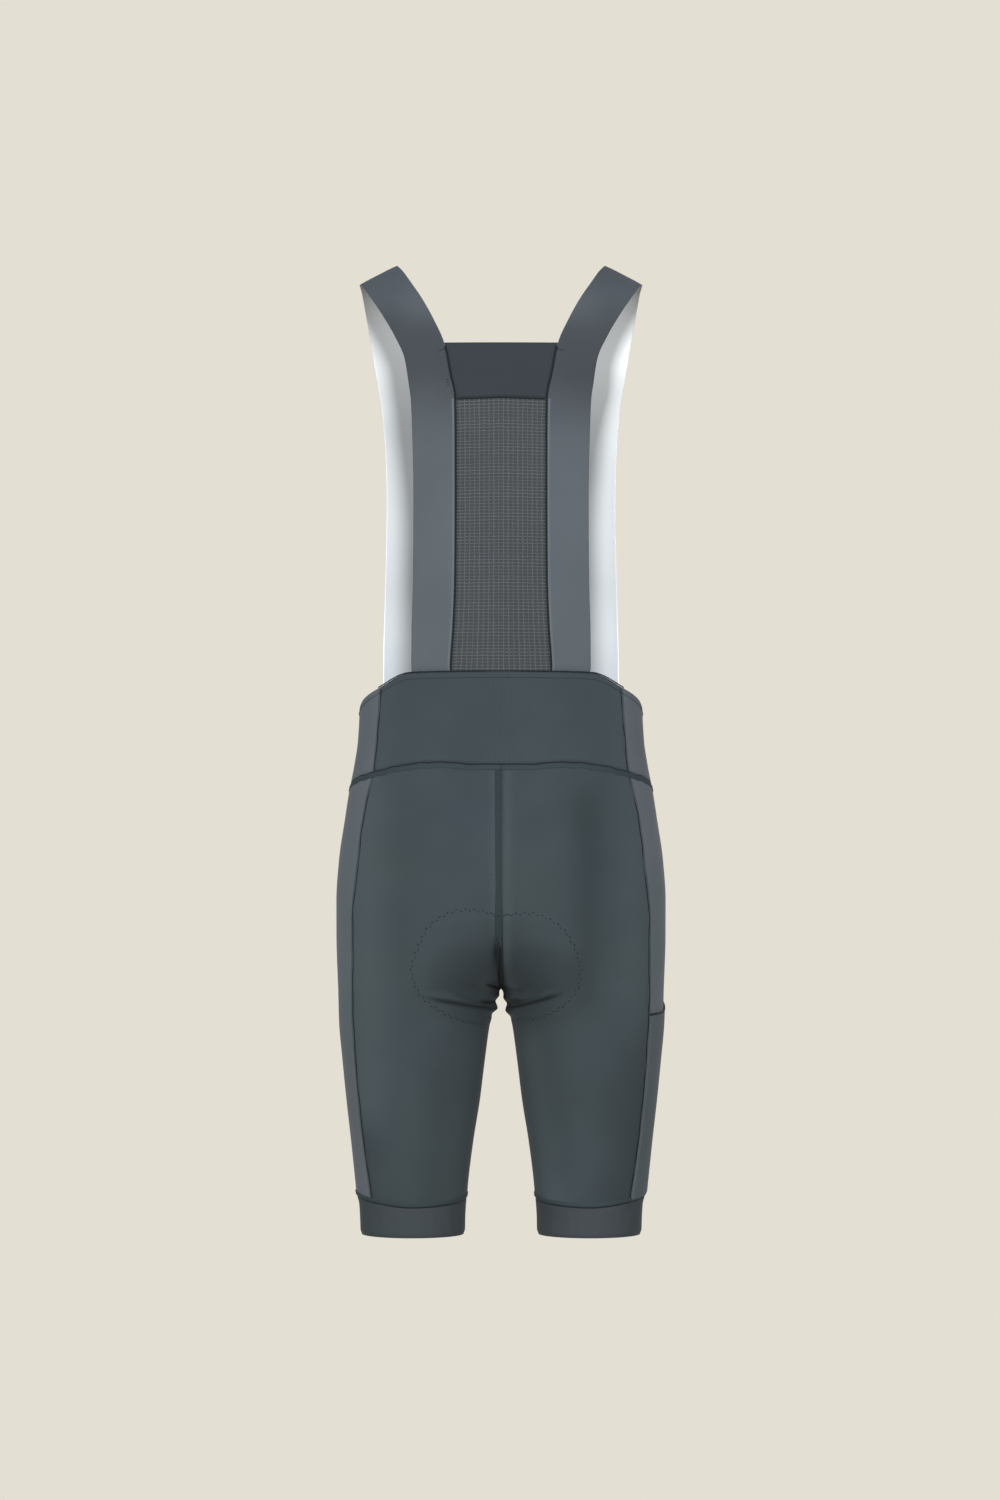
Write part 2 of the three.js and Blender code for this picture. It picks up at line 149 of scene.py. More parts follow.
def crowded(count: int, size: float, *spots: Triple) -> Array:
    """Returns rising shares from 0 to 1 that lie closer together at both ends and at some spots.

    Args:
        count: How many steps there are.
        size: The real distance that the shares span.
        spots: The share, the width in millimetres and the gain in closeness of each further spot.

    Returns:
        The shares, with 0 and 1.
    """
    fine = np.linspace(0, 1, 4001)
    close = 1.0
    for middle, width, gain in ((0, *EDGE_SPOT), (1, *EDGE_SPOT), *spots):
        close = close + gain * bump((fine - middle) * size, width)
    total = summed((close[1:] + close[:-1]) / 2)
    return np.interp(np.linspace(0, total[-1], count + 1), total, fine)


# The garment's form


@dataclass(frozen=True)
class Crease:
    """A soft trough across the cloth with a low ridge above it."""

    half: int
    side: int
    start: Pair
    end: Pair
    depth: float
    width: float
    ridge: float
    fade_in: Pair = (-0.15, 0.12)
    fade_out: Pair = (0.7, 1.2)

    def push(self, across: Array, height: Array) -> Array:
        """Returns how far the crease moves the cloth out at points of its half and side."""
        along = (across - self.start[0]) / (self.end[0] - self.start[0])
        off = height - mix(self.start[1], self.end[1], along)
        ends = ramp(*self.fade_in, along) * (1 - ramp(*self.fade_out, along))
        trough = self.depth * bump(off, self.width)
        return ends * (self.ridge * bump(off - 2 * self.width, 1.5 * self.width) - trough)


@dataclass(frozen=True)
class Bunch:
    """A small roll of bunched cloth at the top of a thigh's inside."""

    side: int
    height: float
    rise: float
    width: float
    fade_out: Pair = (8, 27)

    def push(self, across: Array, height: Array) -> Array:
        """Returns how far the bunch moves the cloth out at points of its side."""
        rise = self.rise * bump(height - self.height, self.width)
        return rise * (1 - ramp(*self.fade_out, across))


@dataclass(frozen=True)
class Mound:
    """The soft-edged place over the seat pad."""

    middle: float
    reach: Pair
    power: float
    edge: Pair
    rise: float

    def read(self, across: Array, height: Array) -> Array:
        """Returns its height, or its painted shade, at some points."""
        wide = np.abs(across / self.reach[0]) ** self.power
        down = np.abs((height - self.middle) / self.reach[1]) ** self.power
        return self.rise * (1 - ramp(*self.edge, np.hypot(wide, down)))


class Edge(Table):
    """An edge's heights by angle, and the level at which panels take their angles for it."""

    def __init__(self, level: float, *rows: Pair) -> None:
        """Keeps the level and makes the table of angles and heights."""
        super().__init__("angle height", *rows)
        self.level = level


EDGES = {
    "waist_top": Edge(
        -420.0, (-90, -397), (-58, -398.5), (-36, -412.5), (-15, -424.5), (0, -433), (22, -439),
        (60, -444), (90, -448),
    ),
    "waist_seam": Edge(
        -497.0, (-90, -488.5), (-72, -486), (-58, -488.5), (-37, -495.5), (-15, -503), (0, -510),
        (30, -518), (60, -523), (90, -525),
    ),
    "cuff_seam": Edge(
        -922.0, (-180, -920), (-135, -925), (-90, -927), (-45, -923), (0, -918), (90, -916), (180, -920),
    ),
    "pocket_top": Edge(-735.0, (-38, -736), (-15, -735), (5, -729), (38, -706)),
}


@dataclass(frozen=True)
class Form:
    """The worn form of the shorts, as level sections walked round by angle from the side."""

    crotch: float = -712.0
    hem: float = -957.5
    trunk_share: float = 0.56
    fan: float = 0.8
    sections: Table = Table(
        "height outer inner round back front",
        (-380, 141.5, -58.5, 45, 98, 100), (-433, 141.5, -58.5, 45, 101, 101),
        (-464, 143, -60, 45, 106, 101), (-490, 146.8, -63, 45, 112, 101),
        (-514, 151.5, -64.5, 42, 117, 100), (-544, 156.2, -65, 37, 122.5, 98.5),
        (-584, 162, -64, 30, 127.5, 95.5), (-624, 164.6, -60, 20, 127, 92),
        (-664, 164.5, -39, 12, 121, 88), (-682, 164, -22, 9, 117, 86.5),
        (-702, 163.2, -3.5, 6, 111, 85.2), (-712, 162.8, 5, 5, 108, 84.5),
        (-724, 162.5, 7.2, 5, 104.5, 84), (-744, 162, 11.6, 5, 99, 82.5),
        (-784, 158.5, 16.9, 5, 90.5, 78.5), (-824, 154.5, 21.7, 5, 82.5, 73),
        (-864, 150, 28, 5, 75, 67.5), (-904, 145.8, 33, 5, 68, 62.5),
        (-918, 144.3, 34.2, 5, 66, 61.2), (-927, 141.8, 35.2, 5, 64.8, 60.4),
        (-940, 140.9, 35.9, 5, 63.6, 59.5), (-960, 140.4, 36.4, 5, 62.6, 58.6),
    )
    side_seam: Table = Table(
        "height across", (-413, 119), (-492, 125.5), (-520, 132), (-548, 137), (-581, 141), (-648, 147),
        (-735, 147), (-762, 145.7), (-839, 139.5), (-921, 128.6),
    )
    creases: tuple[Crease, ...] = (
        Crease(-1, -1, (7, -731), (68, -719.5), 2.5, 2.3, 1.5),
        Crease(-1, 1, (7, -731), (56, -715.5), 2.7, 2.3, 1.7),
        Crease(-1, -1, (1, -711), (16, -705.5), 2.2, 2.0, 0.9),
        Crease(-1, 1, (3, -708), (20, -711.5), 0.6, 2.4, 0.4),
        Crease(-1, -1, (4, -724.5), (20, -723), 1.2, 2.0, 0.7),
        Crease(-1, 1, (5, -725.5), (21, -722.5), 1.6, 2.0, 0.9),
        Crease(-1, -1, (24, -722), (46, -714), 0.8, 2.6, 0.4),
        Crease(-1, 1, (20, -724), (40, -712), 0.9, 2.4, 0.5),
        Crease(1, -1, (13, -725), (76, -684), 1.8, 4.2, 1.2),
        Crease(1, 1, (12, -728), (66, -689), 2, 4, 1.3),
        Crease(1, -1, (12, -746), (58, -727), 1.3, 3.6, 0.6),
        Crease(1, 1, (12, -744), (64, -721), 1.1, 3.8, 0.6),
    )
    crease_fade: Pair = (16, 40)
    deep_crease: float = 2.4
    bunches: tuple[Bunch, ...] = (
        Bunch(-1, -718.5, 1.3, 2.6), Bunch(-1, -724.5, -1.2, 2.4),
        Bunch(-1, -731, 2.9, 3.6), Bunch(-1, -738, -1.0, 3.0),
        Bunch(1, -721, 1.2, 2.8), Bunch(1, -727, -1.0, 2.4),
        Bunch(1, -733.5, 2.6, 3.8), Bunch(1, -741, -0.9, 3.0),
    )
    pad: Mound = Mound(-690.0, (89, 57), 1.3, (0.82, 1.08), 1.2)

    def section(self, height: Number) -> dict[str, Array]:
        """Returns the level sections at some heights, with each lobe's size and middle."""
        s = {name: self.sections.read(name, height) for name in self.sections.columns}
        reach = np.hypot(s["outer"], s["round"])
        return {**s, "lobe": (reach - s["inner"]) / 2, "centre": (reach + s["inner"]) / 2}

    def level(self, points: Array) -> Array:
        """Returns 0 on the form and less inside it."""
        s = self.section(points[:, 2])
        across = (np.hypot(points[:, 0], s["round"]) - s["centre"]) / s["lobe"]
        deep = points[:, 1] / np.where(points[:, 1] < 0, s["back"], s["front"])
        return across**2 + deep**2 - 1

    def outward(self, points: Array, step: float = 0.4) -> Array:
        """Returns the outward directions at points of the right half."""
        moves = np.eye(3) * step
        return unit(np.stack([self.level(points + m) - self.level(points - m) for m in moves], -1))

    def angle_of(self, across: Number, height: Number) -> Array:
        """Returns the angles at which the sections lie this far from the middle plane."""
        s = self.section(height)
        reach = np.hypot(across, s["round"])
        return np.degrees(np.arccos(np.clip((reach - s["centre"]) / s["lobe"], -1, 1)))

    def middle_angle(self, height: Number) -> Array:
        """Returns the angle at which the sections meet the middle plane, 180 on the legs."""
        return self.angle_of(0, height)

    def seam_angle(self, height: Number) -> Array:
        """Returns the angle at which the side panels end."""
        return self.angle_of(self.side_seam.read("across", height), height)

    def angles(self, half: int, share: Number, height: Number) -> Array:
        """Returns the angles at shares across the panels of a half, which start at the middle."""
        if half == 0:
            return (2 * share - 1) * self.seam_angle(height)
        return half * mix(self.middle_angle(height), self.seam_angle(height), share)

    def edge(self, name: str, angle: Number) -> Array:
        """Returns the heights of a named edge at some angles."""
        return EDGES[name].read("height", angle)

    def edge_of(self, name: str, half: int, share: Number) -> Array:
        """Returns the heights of a named edge at shares across the panels of a half."""
        return self.edge(name, self.angles(half, share, EDGES[name].level))

    def relief(self, points: Array, side: Number) -> Array:
        """Returns how far folds and the pad push the cloth out at points of the right half."""
        across, deep, height = points.T
        back = deep < 0
        out = np.zeros(len(points))
        shown = ramp(*self.crease_fade, np.abs(deep))
        for crease in self.creases:
            here = (side == crease.side) & (back if crease.half < 0 else ~back)
            if np.any(here):
                out += here * shown * crease.push(across, height)
        for bunch in self.bunches:
            out += (side == bunch.side) * bunch.push(across, height)
        return out + back * self.pad.read(across, height)

    def skin(self, angle: Array, height: Array, side: Number, depth: Number = 0.0) -> Array:
        """Returns points of the cloth, as skin_and_normal does."""
        return self.skin_and_normal(angle, height, side, depth)[0]

    def skin_and_normal(
        self, angle: Array, height: Array, side: Number, depth: Number = 0.0
    ) -> tuple[Array, Array]:
        """Returns points of the cloth and the outward directions there.

        Args:
            angle: Degrees from the side, negative at the back.
            height: Heights.
            side: The side, one for all points or one for each.
            depth: How far the points lie below the outer face.

        Returns:
            The points and the directions, one row each.
        """
        s = self.section(height)
        turn = np.radians(angle)
        reach = s["centre"] + s["lobe"] * np.cos(turn)
        deep = np.where(angle < 0, s["back"], s["front"]) * np.sin(turn)
        across = np.sqrt(np.maximum(0, reach**2 - s["round"] ** 2))
        points = np.stack([across, deep, height], -1)
        normals = self.outward(points)
        points = points + normals * (self.relief(points, side) - depth)[:, None]
        points[:, 0] = side * np.maximum(0, points[:, 0])
        normals[:, 0] *= side
        return points, normals

    def middle_shares(self, half: int) -> tuple[Array, Array]:
        """Returns shares of the middle seam's length and the shares of its drop that they reach."""
        drop = np.linspace(0, 1, 401)
        height = mix(self.edge("waist_seam", half * 90.0), self.crotch, drop)
        points = self.skin(half * self.middle_angle(height), height, 1)
        length = summed(np.hypot(np.diff(points[:, 1]), np.diff(points[:, 2])))
        return length / length[-1], drop

    def folds(self, across: Array, height: Array, half: int, side: int) -> Array:
        """Returns how deep points lie in a crease, from 0 to 1."""
        here = [crease for crease in self.creases if (crease.half, crease.side) == (half, side)]
        sunk = [-crease.push(across, height) / self.deep_crease for crease in here]
        return np.maximum.reduce([np.zeros(len(height)), *sunk])

    def leg_height(self, down: Array, share: Array, half: int) -> Array:
        """Returns the heights of a leg panel's rows.

        Args:
            down: Shares from the waist seam to the cuff seam.
            share: Shares from the middle seam to the side seam.
            half: The half that the panel is on.

        Returns:
            Heights that fan out from the middle seam on the trunk and are level on the leg.
        """
        top, bottom = (self.edge_of(name, half, share) for name in ("waist_seam", "cuff_seam"))
        trunk = np.clip(down / self.trunk_share, 0, 1)
        at_middle = np.interp(trunk, *self.middle_shares(half))
        upper = mix(top, self.crotch, mix(at_middle, trunk, share**self.fan))
        lower = mix(self.crotch, bottom, (down - self.trunk_share) / (1 - self.trunk_share))
        return np.where(down < self.trunk_share, upper, lower)


FORM = Form()


# Meshes


def placed(name: str, data: bpy.types.ID) -> Piece:
    """Returns a new object in the scene."""
    piece = bpy.data.objects.new(name, data)
    bpy.context.scene.collection.objects.link(piece)
    return piece


def finished(name: str, bm: bmesh.types.BMesh) -> Piece:
    """Returns a new object with a mesh that was under construction."""
    mesh = bpy.data.meshes.new(name)
    bm.to_mesh(mesh)
    bm.free()
    return placed(name, mesh)


def grid_piece(
    name: str,
    across: Array,
    down: Array,
    place: Place,
    size: Pair,
    away_from: Pair | None = None,
    weld: float = 0.0,
) -> Piece:
    """Makes a mesh from a grid whose vertices are moved to a surface.

    Args:
        name: The piece's name.
        across: The shares of the grid's columns, from 0 to 1.
        down: The shares of the grid's rows, from 0 to 1.
        place: The surface: points in millimetres for shares across and down.
        size: The cloth's real width and length, for its UV map.
        away_from: Where the upright line stands that the faces turn away from.
        weld: The distance in millimetres under which vertices become one, on a closed piece.

    Returns:
        The new object, with smooth faces and a UV map in metres.
    """
    columns, rows = len(across) - 1, len(down) - 1
    bm = bmesh.new()
    bmesh.ops.create_grid(bm, x_segments=columns, y_segments=rows, size=0.5)
    flat = np.array([v.co for v in bm.verts])
    u = across[np.rint((flat[:, 0] + 0.5) * columns).astype(int)]
    v = down[np.rint((0.5 - flat[:, 1]) * rows).astype(int)]
    for vertex, point in zip(bm.verts, place(u, v) * MM):
        vertex.co = point
    shares = np.stack([u * size[0], v * size[1]], -1) * MM
    uv = bm.loops.layers.uv.new("UVMap")
    for face in bm.faces:
        face.smooth = True
        for loop in face.loops:
            loop[uv].uv = shares[loop.vert.index]
    if weld:
        bmesh.ops.remove_doubles(bm, verts=bm.verts[:], dist=weld * MM)
        bmesh.ops.dissolve_degenerate(bm, edges=bm.edges[:], dist=1e-6)
    bm.normal_update()
    if away_from is None:
        bmesh.ops.recalc_face_normals(bm, faces=bm.faces[:])
    else:
        line = Vector(away_from) * MM
        away = (f.normal.xy.dot(f.calc_center_median().xy - line) * f.calc_area() for f in bm.faces)
        if sum(away) < 0:
            bmesh.ops.reverse_faces(bm, faces=bm.faces[:])
    return finished(name, bm)


def cap_ends(piece: Piece) -> None:
    """Closes the open ends of a tube and turns its faces out."""
    bm = bmesh.new()
    bm.from_mesh(piece.data)
    bmesh.ops.holes_fill(bm, edges=[e for e in bm.edges if e.is_boundary], sides=0)
    bmesh.ops.recalc_face_normals(bm, faces=bm.faces[:])
    bm.to_mesh(piece.data)
    bm.free()


def join(name: str, pieces: Sequence[Piece]) -> Piece:
    """Joins pieces, which are used up, into one object."""
    bm = bmesh.new()
    for piece in pieces:
        bm.from_mesh(piece.data)
        bpy.data.meshes.remove(piece.data)
    return finished(name, bm)


def thicken(piece: Piece, wall: float, inner_slot: int = 0) -> None:
    """Gives an open piece a wall below its outer face.

    Args:
        piece: The open piece.
        wall: The wall in millimetres.
        inner_slot: How many material slots further on the finish of the inner face and the rim is.
    """
    modifier = piece.modifiers.new("wall", "SOLIDIFY")
    modifier.thickness = wall * MM
    modifier.offset = -1.0
    modifier.use_even_offset = False
    modifier.material_offset = inner_slot
    modifier.material_offset_rim = inner_slot


def points_of(piece: Piece) -> Array:
    """Returns a piece's vertices in millimetres."""
    points = np.empty(len(piece.data.vertices) * 3)
    piece.data.vertices.foreach_get("co", points)
    return points.reshape(-1, 3) / MM


def shares_of(piece: Piece, size: Pair) -> tuple[Array, Array]:
    """Returns the shares across and down of a piece's vertices, from its UV map."""
    data = piece.data
    flat, corner = np.empty(len(data.loops) * 2), np.empty(len(data.loops), int)
    data.uv_layers["UVMap"].uv.foreach_get("vector", flat)
    data.loops.foreach_get("vertex_index", corner)
    shares = np.empty((len(data.vertices), 2))
    shares[corner] = flat.reshape(-1, 2) / MM / np.array(size)
    return shares[:, 0], shares[:, 1]


def shade(piece: Piece, name: str, tones: Array) -> None:
    """Stores painted shade and painted light at each vertex, as how much darker the cloth is there, in a
    named attribute.
    """
    attribute = piece.data.attributes.new(name, "FLOAT", "POINT")
    attribute.data.foreach_set("value", tones.astype(np.float32))


# Lines, bands and threads


@dataclass(frozen=True)
class Path:
    """A line on the cloth with the outward directions along it."""

    points: Array
    normals: Array

    def lengths(self) -> Array:
        """Returns the distance along the line to each point."""
        return summed(np.linalg.norm(np.diff(self.points, axis=0), axis=1))

    def evened(self, step: float) -> "Path":
        """Returns the same line with points about a step apart."""
        length = self.lengths()
        at = np.linspace(0, length[-1], max(8, int(length[-1] / step)) + 1)
        points, normals = (
            np.stack([np.interp(at, length, column) for column in part.T], -1)
            for part in (self.points, self.normals)
        )
        return Path(points, unit(normals))

    def sideways(self) -> Array:
        """Returns the directions across the line, in the cloth."""
        return unit(np.cross(self.normals, np.gradient(self.points, axis=0)))

    def scaled(self, factors: tuple[int, int, int]) -> "Path":
        """Returns the line with each axis times a factor, to mirror or flatten it."""
        return Path(self.points * factors, unit(self.normals * factors))

    def backwards(self) -> "Path":
        """Returns the line from its end to its start."""
        return Path(self.points[::-1], self.normals[::-1])

    def then(self, other: "Path") -> "Path":
        """Returns the line followed by another."""
        points = np.concatenate([self.points, other.points])
        return Path(points, np.concatenate([self.normals, other.normals]))


def body_path(angle: Array, height: Array, side: int, depth: float = 0.0) -> Path:
    """Returns the line through some angles and heights of the cloth."""
    return Path(*FORM.skin_and_normal(angle, height, side, depth))


def tube(name: str, path: Path, sides: int, width: float, section: Section) -> Piece:
    """Makes a closed tube along a line.

    Args:
        name: The piece's name.
        path: The line, with a point for each ring of the tube.
        sides: How many sides the tube has.
        width: The real distance round it, for its UV map.
        section: How far across and out its points lie, for their turns round the line, their shares
            of its length and their distances along it.

    Returns:
        The tube.
    """
    count, sideways, length = len(path.points) - 1, path.sideways(), path.lengths()

    def place(u: Array, v: Array) -> Array:
        """Returns points of the tube: u goes round it and v along it."""
        k = np.rint(v * count).astype(int)
        across, out = section(2 * np.pi * u, v, length[k])
        return path.points[k] + sideways[k] * across[:, None] + path.normals[k] * out[:, None]

    shares = np.linspace(0, 1, sides + 1), np.linspace(0, 1, count + 1)
    piece = grid_piece(name, *shares, place, (width, length[-1]), weld=0.002)
    cap_ends(piece)
    return piece


@dataclass(frozen=True)
class Band:
    """A flat, domed band beside a line, which may narrow and thin over a share of its end."""

    width: float
    rise: float
    shift: float = 0.0
    taper: float = 0.0
    foot: float = 0.9
    thinned: float = 0.85
    step: float = 2.0

    def section(self, turn: Array, share: Array, along: Array) -> tuple[Array, Array]:
        """Returns how far across and out points of the band lie."""
        full = 1 - self.thinned * ramp(1 - self.taper, 1, share) if self.taper else np.ones(len(share))
        across = self.shift * full + np.cos(turn) * full * self.width / 2
        return across, np.where(np.sin(turn) > 0, self.rise, self.foot) * np.sin(turn) * full

    def on(self, path: Path, name: str) -> Piece:
        """Makes the band on a line."""
        return tube(name, path.evened(self.step), 12, 2 * self.width, self.section)


@dataclass(frozen=True)
class Thread:
    """A thread that surfaces and dives once in each pitch and may swing sideways."""

    pitch: float = 2.6
    swing: float = 0.0
    radius: float = 0.3
    shift: float = 0.0
    lift: float = 0.0
    dip: float = 0.12

    def section(self, turn: Array, share: Array, along: Array) -> tuple[Array, Array]:
        """Returns how far across and out points of the thread lie."""
        phase = along / self.pitch
        swing = self.swing * (4 * np.abs(phase / 2 - np.floor(phase / 2 + 0.5)) - 1)
        dive = self.lift + self.dip * np.cos(2 * np.pi * phase)
        return self.shift + swing + self.radius * np.cos(turn), dive + self.radius * np.sin(turn)

    def on(self, path: Path, name: str) -> Piece:
        """Makes the thread on a line."""
        return tube(name, path.evened(self.pitch / 6), 4, 2, self.section)


# Finishes


@dataclass(frozen=True)
class Value:
    """One socket of a shader, on which arithmetic adds Math nodes."""

    shader: "Shader"
    socket: bpy.types.NodeSocket

    def _math(self, operation: str, *others: "Value | float") -> "Value":
        """Returns a Math node's result with this value as the first operand."""
        sockets = dict(enumerate((self, *others)))
        return self.shader.node("ShaderNodeMath", {"operation": operation}, sockets)

    def __add__(self, other: "Value | float") -> "Value":
        """Returns the sum."""
        return self._math("ADD", other)

    def __mul__(self, other: "Value | float") -> "Value":
        """Returns the product."""
        return self._math("MULTIPLY", other)

    def __sub__(self, other: "Value | float") -> "Value":
        """Returns the difference."""
        return self._math("SUBTRACT", other)

    def __rsub__(self, other: float) -> "Value":
        """Returns a number less this value."""
        return self * -1.0 + other

    def wave(self, pitch: float) -> "Value":
        """Returns a sine between 0 and 1 that repeats every pitch."""
        return (self * (2 * math.pi / pitch))._math("SINE") * 0.5 + 0.5

    def squared(self) -> "Value":
        """Returns the value times itself."""
        return self._math("POWER", 2.0)

    def limited(self) -> "Value":
        """Returns the value held between 0 and 1."""
        return self.shader.node("ShaderNodeClamp", {}, {"Value": self})


class Shader:
    """The nodes of one material or world under construction."""

    def __init__(self, owner: bpy.types.Material | bpy.types.World) -> None:
        """Empties the owner's node tree."""
        owner.use_nodes = True
        self.owner = owner
        self.tree: bpy.types.NodeTree = owner.node_tree
        self.tree.nodes.clear()

    def node(
        self,
        kind: str,
        settings: dict[str, object],
        sockets: dict[str | int, object],
        output: str | int = 0,
    ) -> Value:
        """Adds a node.

        Args:
            kind: The node's type.
            settings: Its own settings, made first.
            sockets: A value or a link for each of its named or numbered sockets.
            output: The output that is wanted.

        Returns:
            That output.
        """
        node = self.tree.nodes.new(kind)
        for name, setting in settings.items():
            setattr(node, name, setting)
        for name, value in sockets.items():
            if isinstance(value, Value):
                self.tree.links.new(value.socket, node.inputs[name])
            else:
                node.inputs[name].default_value = value
        return Value(self, node.outputs[output])

    def noise(self, place: Value, scale: float, detail: float) -> Value:
        """Returns a soft noise."""
        return self.node("ShaderNodeTexNoise", {}, {"Vector": place, "Scale": scale, "Detail": detail})

    def blend(self, factor: Value | float, a: object, b: object) -> Value:
        """Returns a colour a share of the way from a to b."""
        return self.node("ShaderNodeMix", {"data_type": "RGBA"}, {0: factor, 6: a, 7: b}, 2)

    def close(self, surface: Value) -> bpy.types.Material | bpy.types.World:
        """Joins the surface to the output and returns the owner."""
        kind = "World" if isinstance(self.owner, bpy.types.World) else "Material"
        output = self.tree.nodes.new(f"ShaderNodeOutput{kind}")
        self.tree.links.new(surface.socket, output.inputs["Surface"])
        return self.owner


class Knit(Enum):
    """The ways in which the cloths are made."""

    FINE = "fine"
    RIB = "rib"
    BAND = "band"
    CORD = "cord"


def linear(colour: tuple[int, int, int]) -> tuple[float, ...]:
    """Returns a screen colour from 0 to 255 as linear light, with an alpha of 1."""
    shares = [c / 255 for c in colour]
    return (*(c / 12.92 if c < 0.04045 else ((c + 0.055) / 1.055) ** 2.4 for c in shares), 1.0)


@dataclass(frozen=True)
class Finish:
    """A cloth finish: its colour, its knit and how it takes light."""

    name: str
    colour: tuple[int, int, int]
    second: tuple[int, int, int]
    knit: Knit
    wale: float
    course: float
    roughness: float = 0.62
    sheen: float = 0.08
    relief: float = 0.12
    mottle: float = 0.12
    # depth: the share of the colour that the cloth reaches at full painted shade and mottle.
    depth: float = 0.2
    stretch: Triple = (1.0, 0.35, 1.0)
    # tone: the attribute that holds the painted shade and painted light.
    tone: str = "tone"
    fuzz_scale: float = 900.0
    patch_scale: float = 16.0
    hue_scale: float = 9.0
    wander: float = 0.006
    bump_distance: float = 0.0004
    fuzz_share: float = 0.6
    knit_tone: float = 0.06
    knit_gloss: float = 0.08
    sheen_roughness: float = 0.35

    def height(self, u: Value, v: Value) -> Value:
        """Returns the height of the knit at the cloth's own coordinates in metres."""
        across, down = u.wave(self.wale * MM), v.wave(self.course * MM)
        if self.knit is Knit.RIB:
            return across * 0.8 + down * 0.2
        if self.knit is Knit.BAND:
            return down.squared() * 0.7 + across * 0.3
        if self.knit is Knit.CORD:
            return (u + v).wave(self.wale * MM)
        return across * (down * 0.5 + 0.5)

    def material(self) -> bpy.types.Material:
        """Returns the finish as a procedural material."""
        shader = Shader(bpy.data.materials.new(self.name))
        uv = shader.node("ShaderNodeUVMap", {"uv_map": "UVMap"}, {})
        place = shader.node("ShaderNodeTexCoord", {}, {}, "Object")
        drawn = shader.node("ShaderNodeVectorMath", {"operation": "MULTIPLY"}, {0: place, 1: self.stretch})
        u, v = (shader.node("ShaderNodeSeparateXYZ", {}, {0: uv}, axis) for axis in (0, 1))
        fuzz = shader.noise(uv, self.fuzz_scale, 2.0)
        patch = shader.noise(drawn, self.patch_scale, 3.0)
        hue = shader.noise(drawn, self.hue_scale, 1.0)
        knit = self.height(u + (patch - 0.5) * self.wander, v)
        # The attribute holds painted shade and painted light; with the random mottle and the knit it darkens
        # the colour towards the deep colour.
        tone = shader.node("ShaderNodeAttribute", {"attribute_name": self.tone}, {}, "Fac")
        uneven = (patch - 0.5) * self.mottle * 2 + (fuzz - 0.5) * self.mottle * self.fuzz_share
        dark = (uneven + (1 - knit) * self.knit_tone + tone).limited()
        near, far = linear(self.colour), linear(self.second)
        light = shader.blend(((hue - 0.5) * 2 + 0.5).limited(), near, far)
        deep = (*(c * self.depth for c in near[:3]), 1.0)
        raised = {"Strength": self.relief, "Distance": self.bump_distance, "Height": knit * 0.7 + fuzz * 0.3}
        cloth = {
            "Base Color": shader.blend(dark, light, deep),
            "Roughness": knit * -self.knit_gloss + (self.roughness + self.knit_gloss / 2),
            "Specular IOR Level": 0.0,
            "Sheen Weight": self.sheen,
            "Sheen Roughness": self.sheen_roughness,
            "Normal": shader.node("ShaderNodeBump", {}, raised),
        }
        return shader.close(shader.node("ShaderNodeBsdfPrincipled", {}, cloth))


FINISHES = (
    Finish("shorts_knit", (62, 70, 75), (61, 69, 71), Knit.FINE, 0.9, 0.75),
    Finish("side_knit", (79, 82, 88), (72, 81, 84), Knit.FINE, 0.8, 0.7, 0.6, 0.1),
    Finish("pocket_knit", (67, 72, 77), (63, 71, 73), Knit.FINE, 0.8, 0.7, 0.6, 0.1),
    Finish("strap_elastic", (72, 77, 83), (71, 76, 79), Knit.RIB, 0.8, 1.2, 0.6, 0.06),
    # The straps' pale inner face, darkened by a painted shadow of the back strap and by painted shade.
    Finish(
        "strap_inner", (240, 243, 245), (238, 243, 246), Knit.RIB, 0.8, 1.2, 0.7, 0.0, mottle=0.0,
        depth=0.3, tone="inner_shadow",
    ),
    Finish("yoke_knit", (44, 48, 52), (45, 48, 52), Knit.FINE, 0.9, 0.8, 0.7),
    Finish("net_base", (53, 56, 59), (53, 56, 58), Knit.FINE, 1.0, 0.8, 0.9, 0.05),
    Finish("net_thread", (75, 78, 81), (75, 78, 80), Knit.CORD, 0.7, 0.7, 0.8),
    Finish("gripper_band", (52, 56, 60), (50, 56, 58), Knit.BAND, 1.0, 2.4, 0.6, stretch=(1, 1, 3)),
    Finish("seam_band", (46, 54, 58), (45, 53, 55), Knit.CORD, 1.4, 1.4, 0.75),
    Finish("centre_band", (41, 48, 51), (40, 48, 49), Knit.CORD, 1.4, 1.4, 0.75),
    Finish("side_band", (61, 66, 71), (59, 65, 69), Knit.CORD, 1.4, 1.4, 0.75),
    Finish("seam_line", (28, 32, 35), (27, 32, 34), Knit.CORD, 0.6, 0.6, 0.8, 0.1),
    Finish("binding", (80, 85, 91), (78, 84, 88), Knit.RIB, 0.8, 1.0),
    Finish("pad_cover", (58, 63, 67), (54, 60, 63), Knit.FINE, 1.6, 1.6, 0.85, relief=0.3),
)


# Putting pieces into the frame


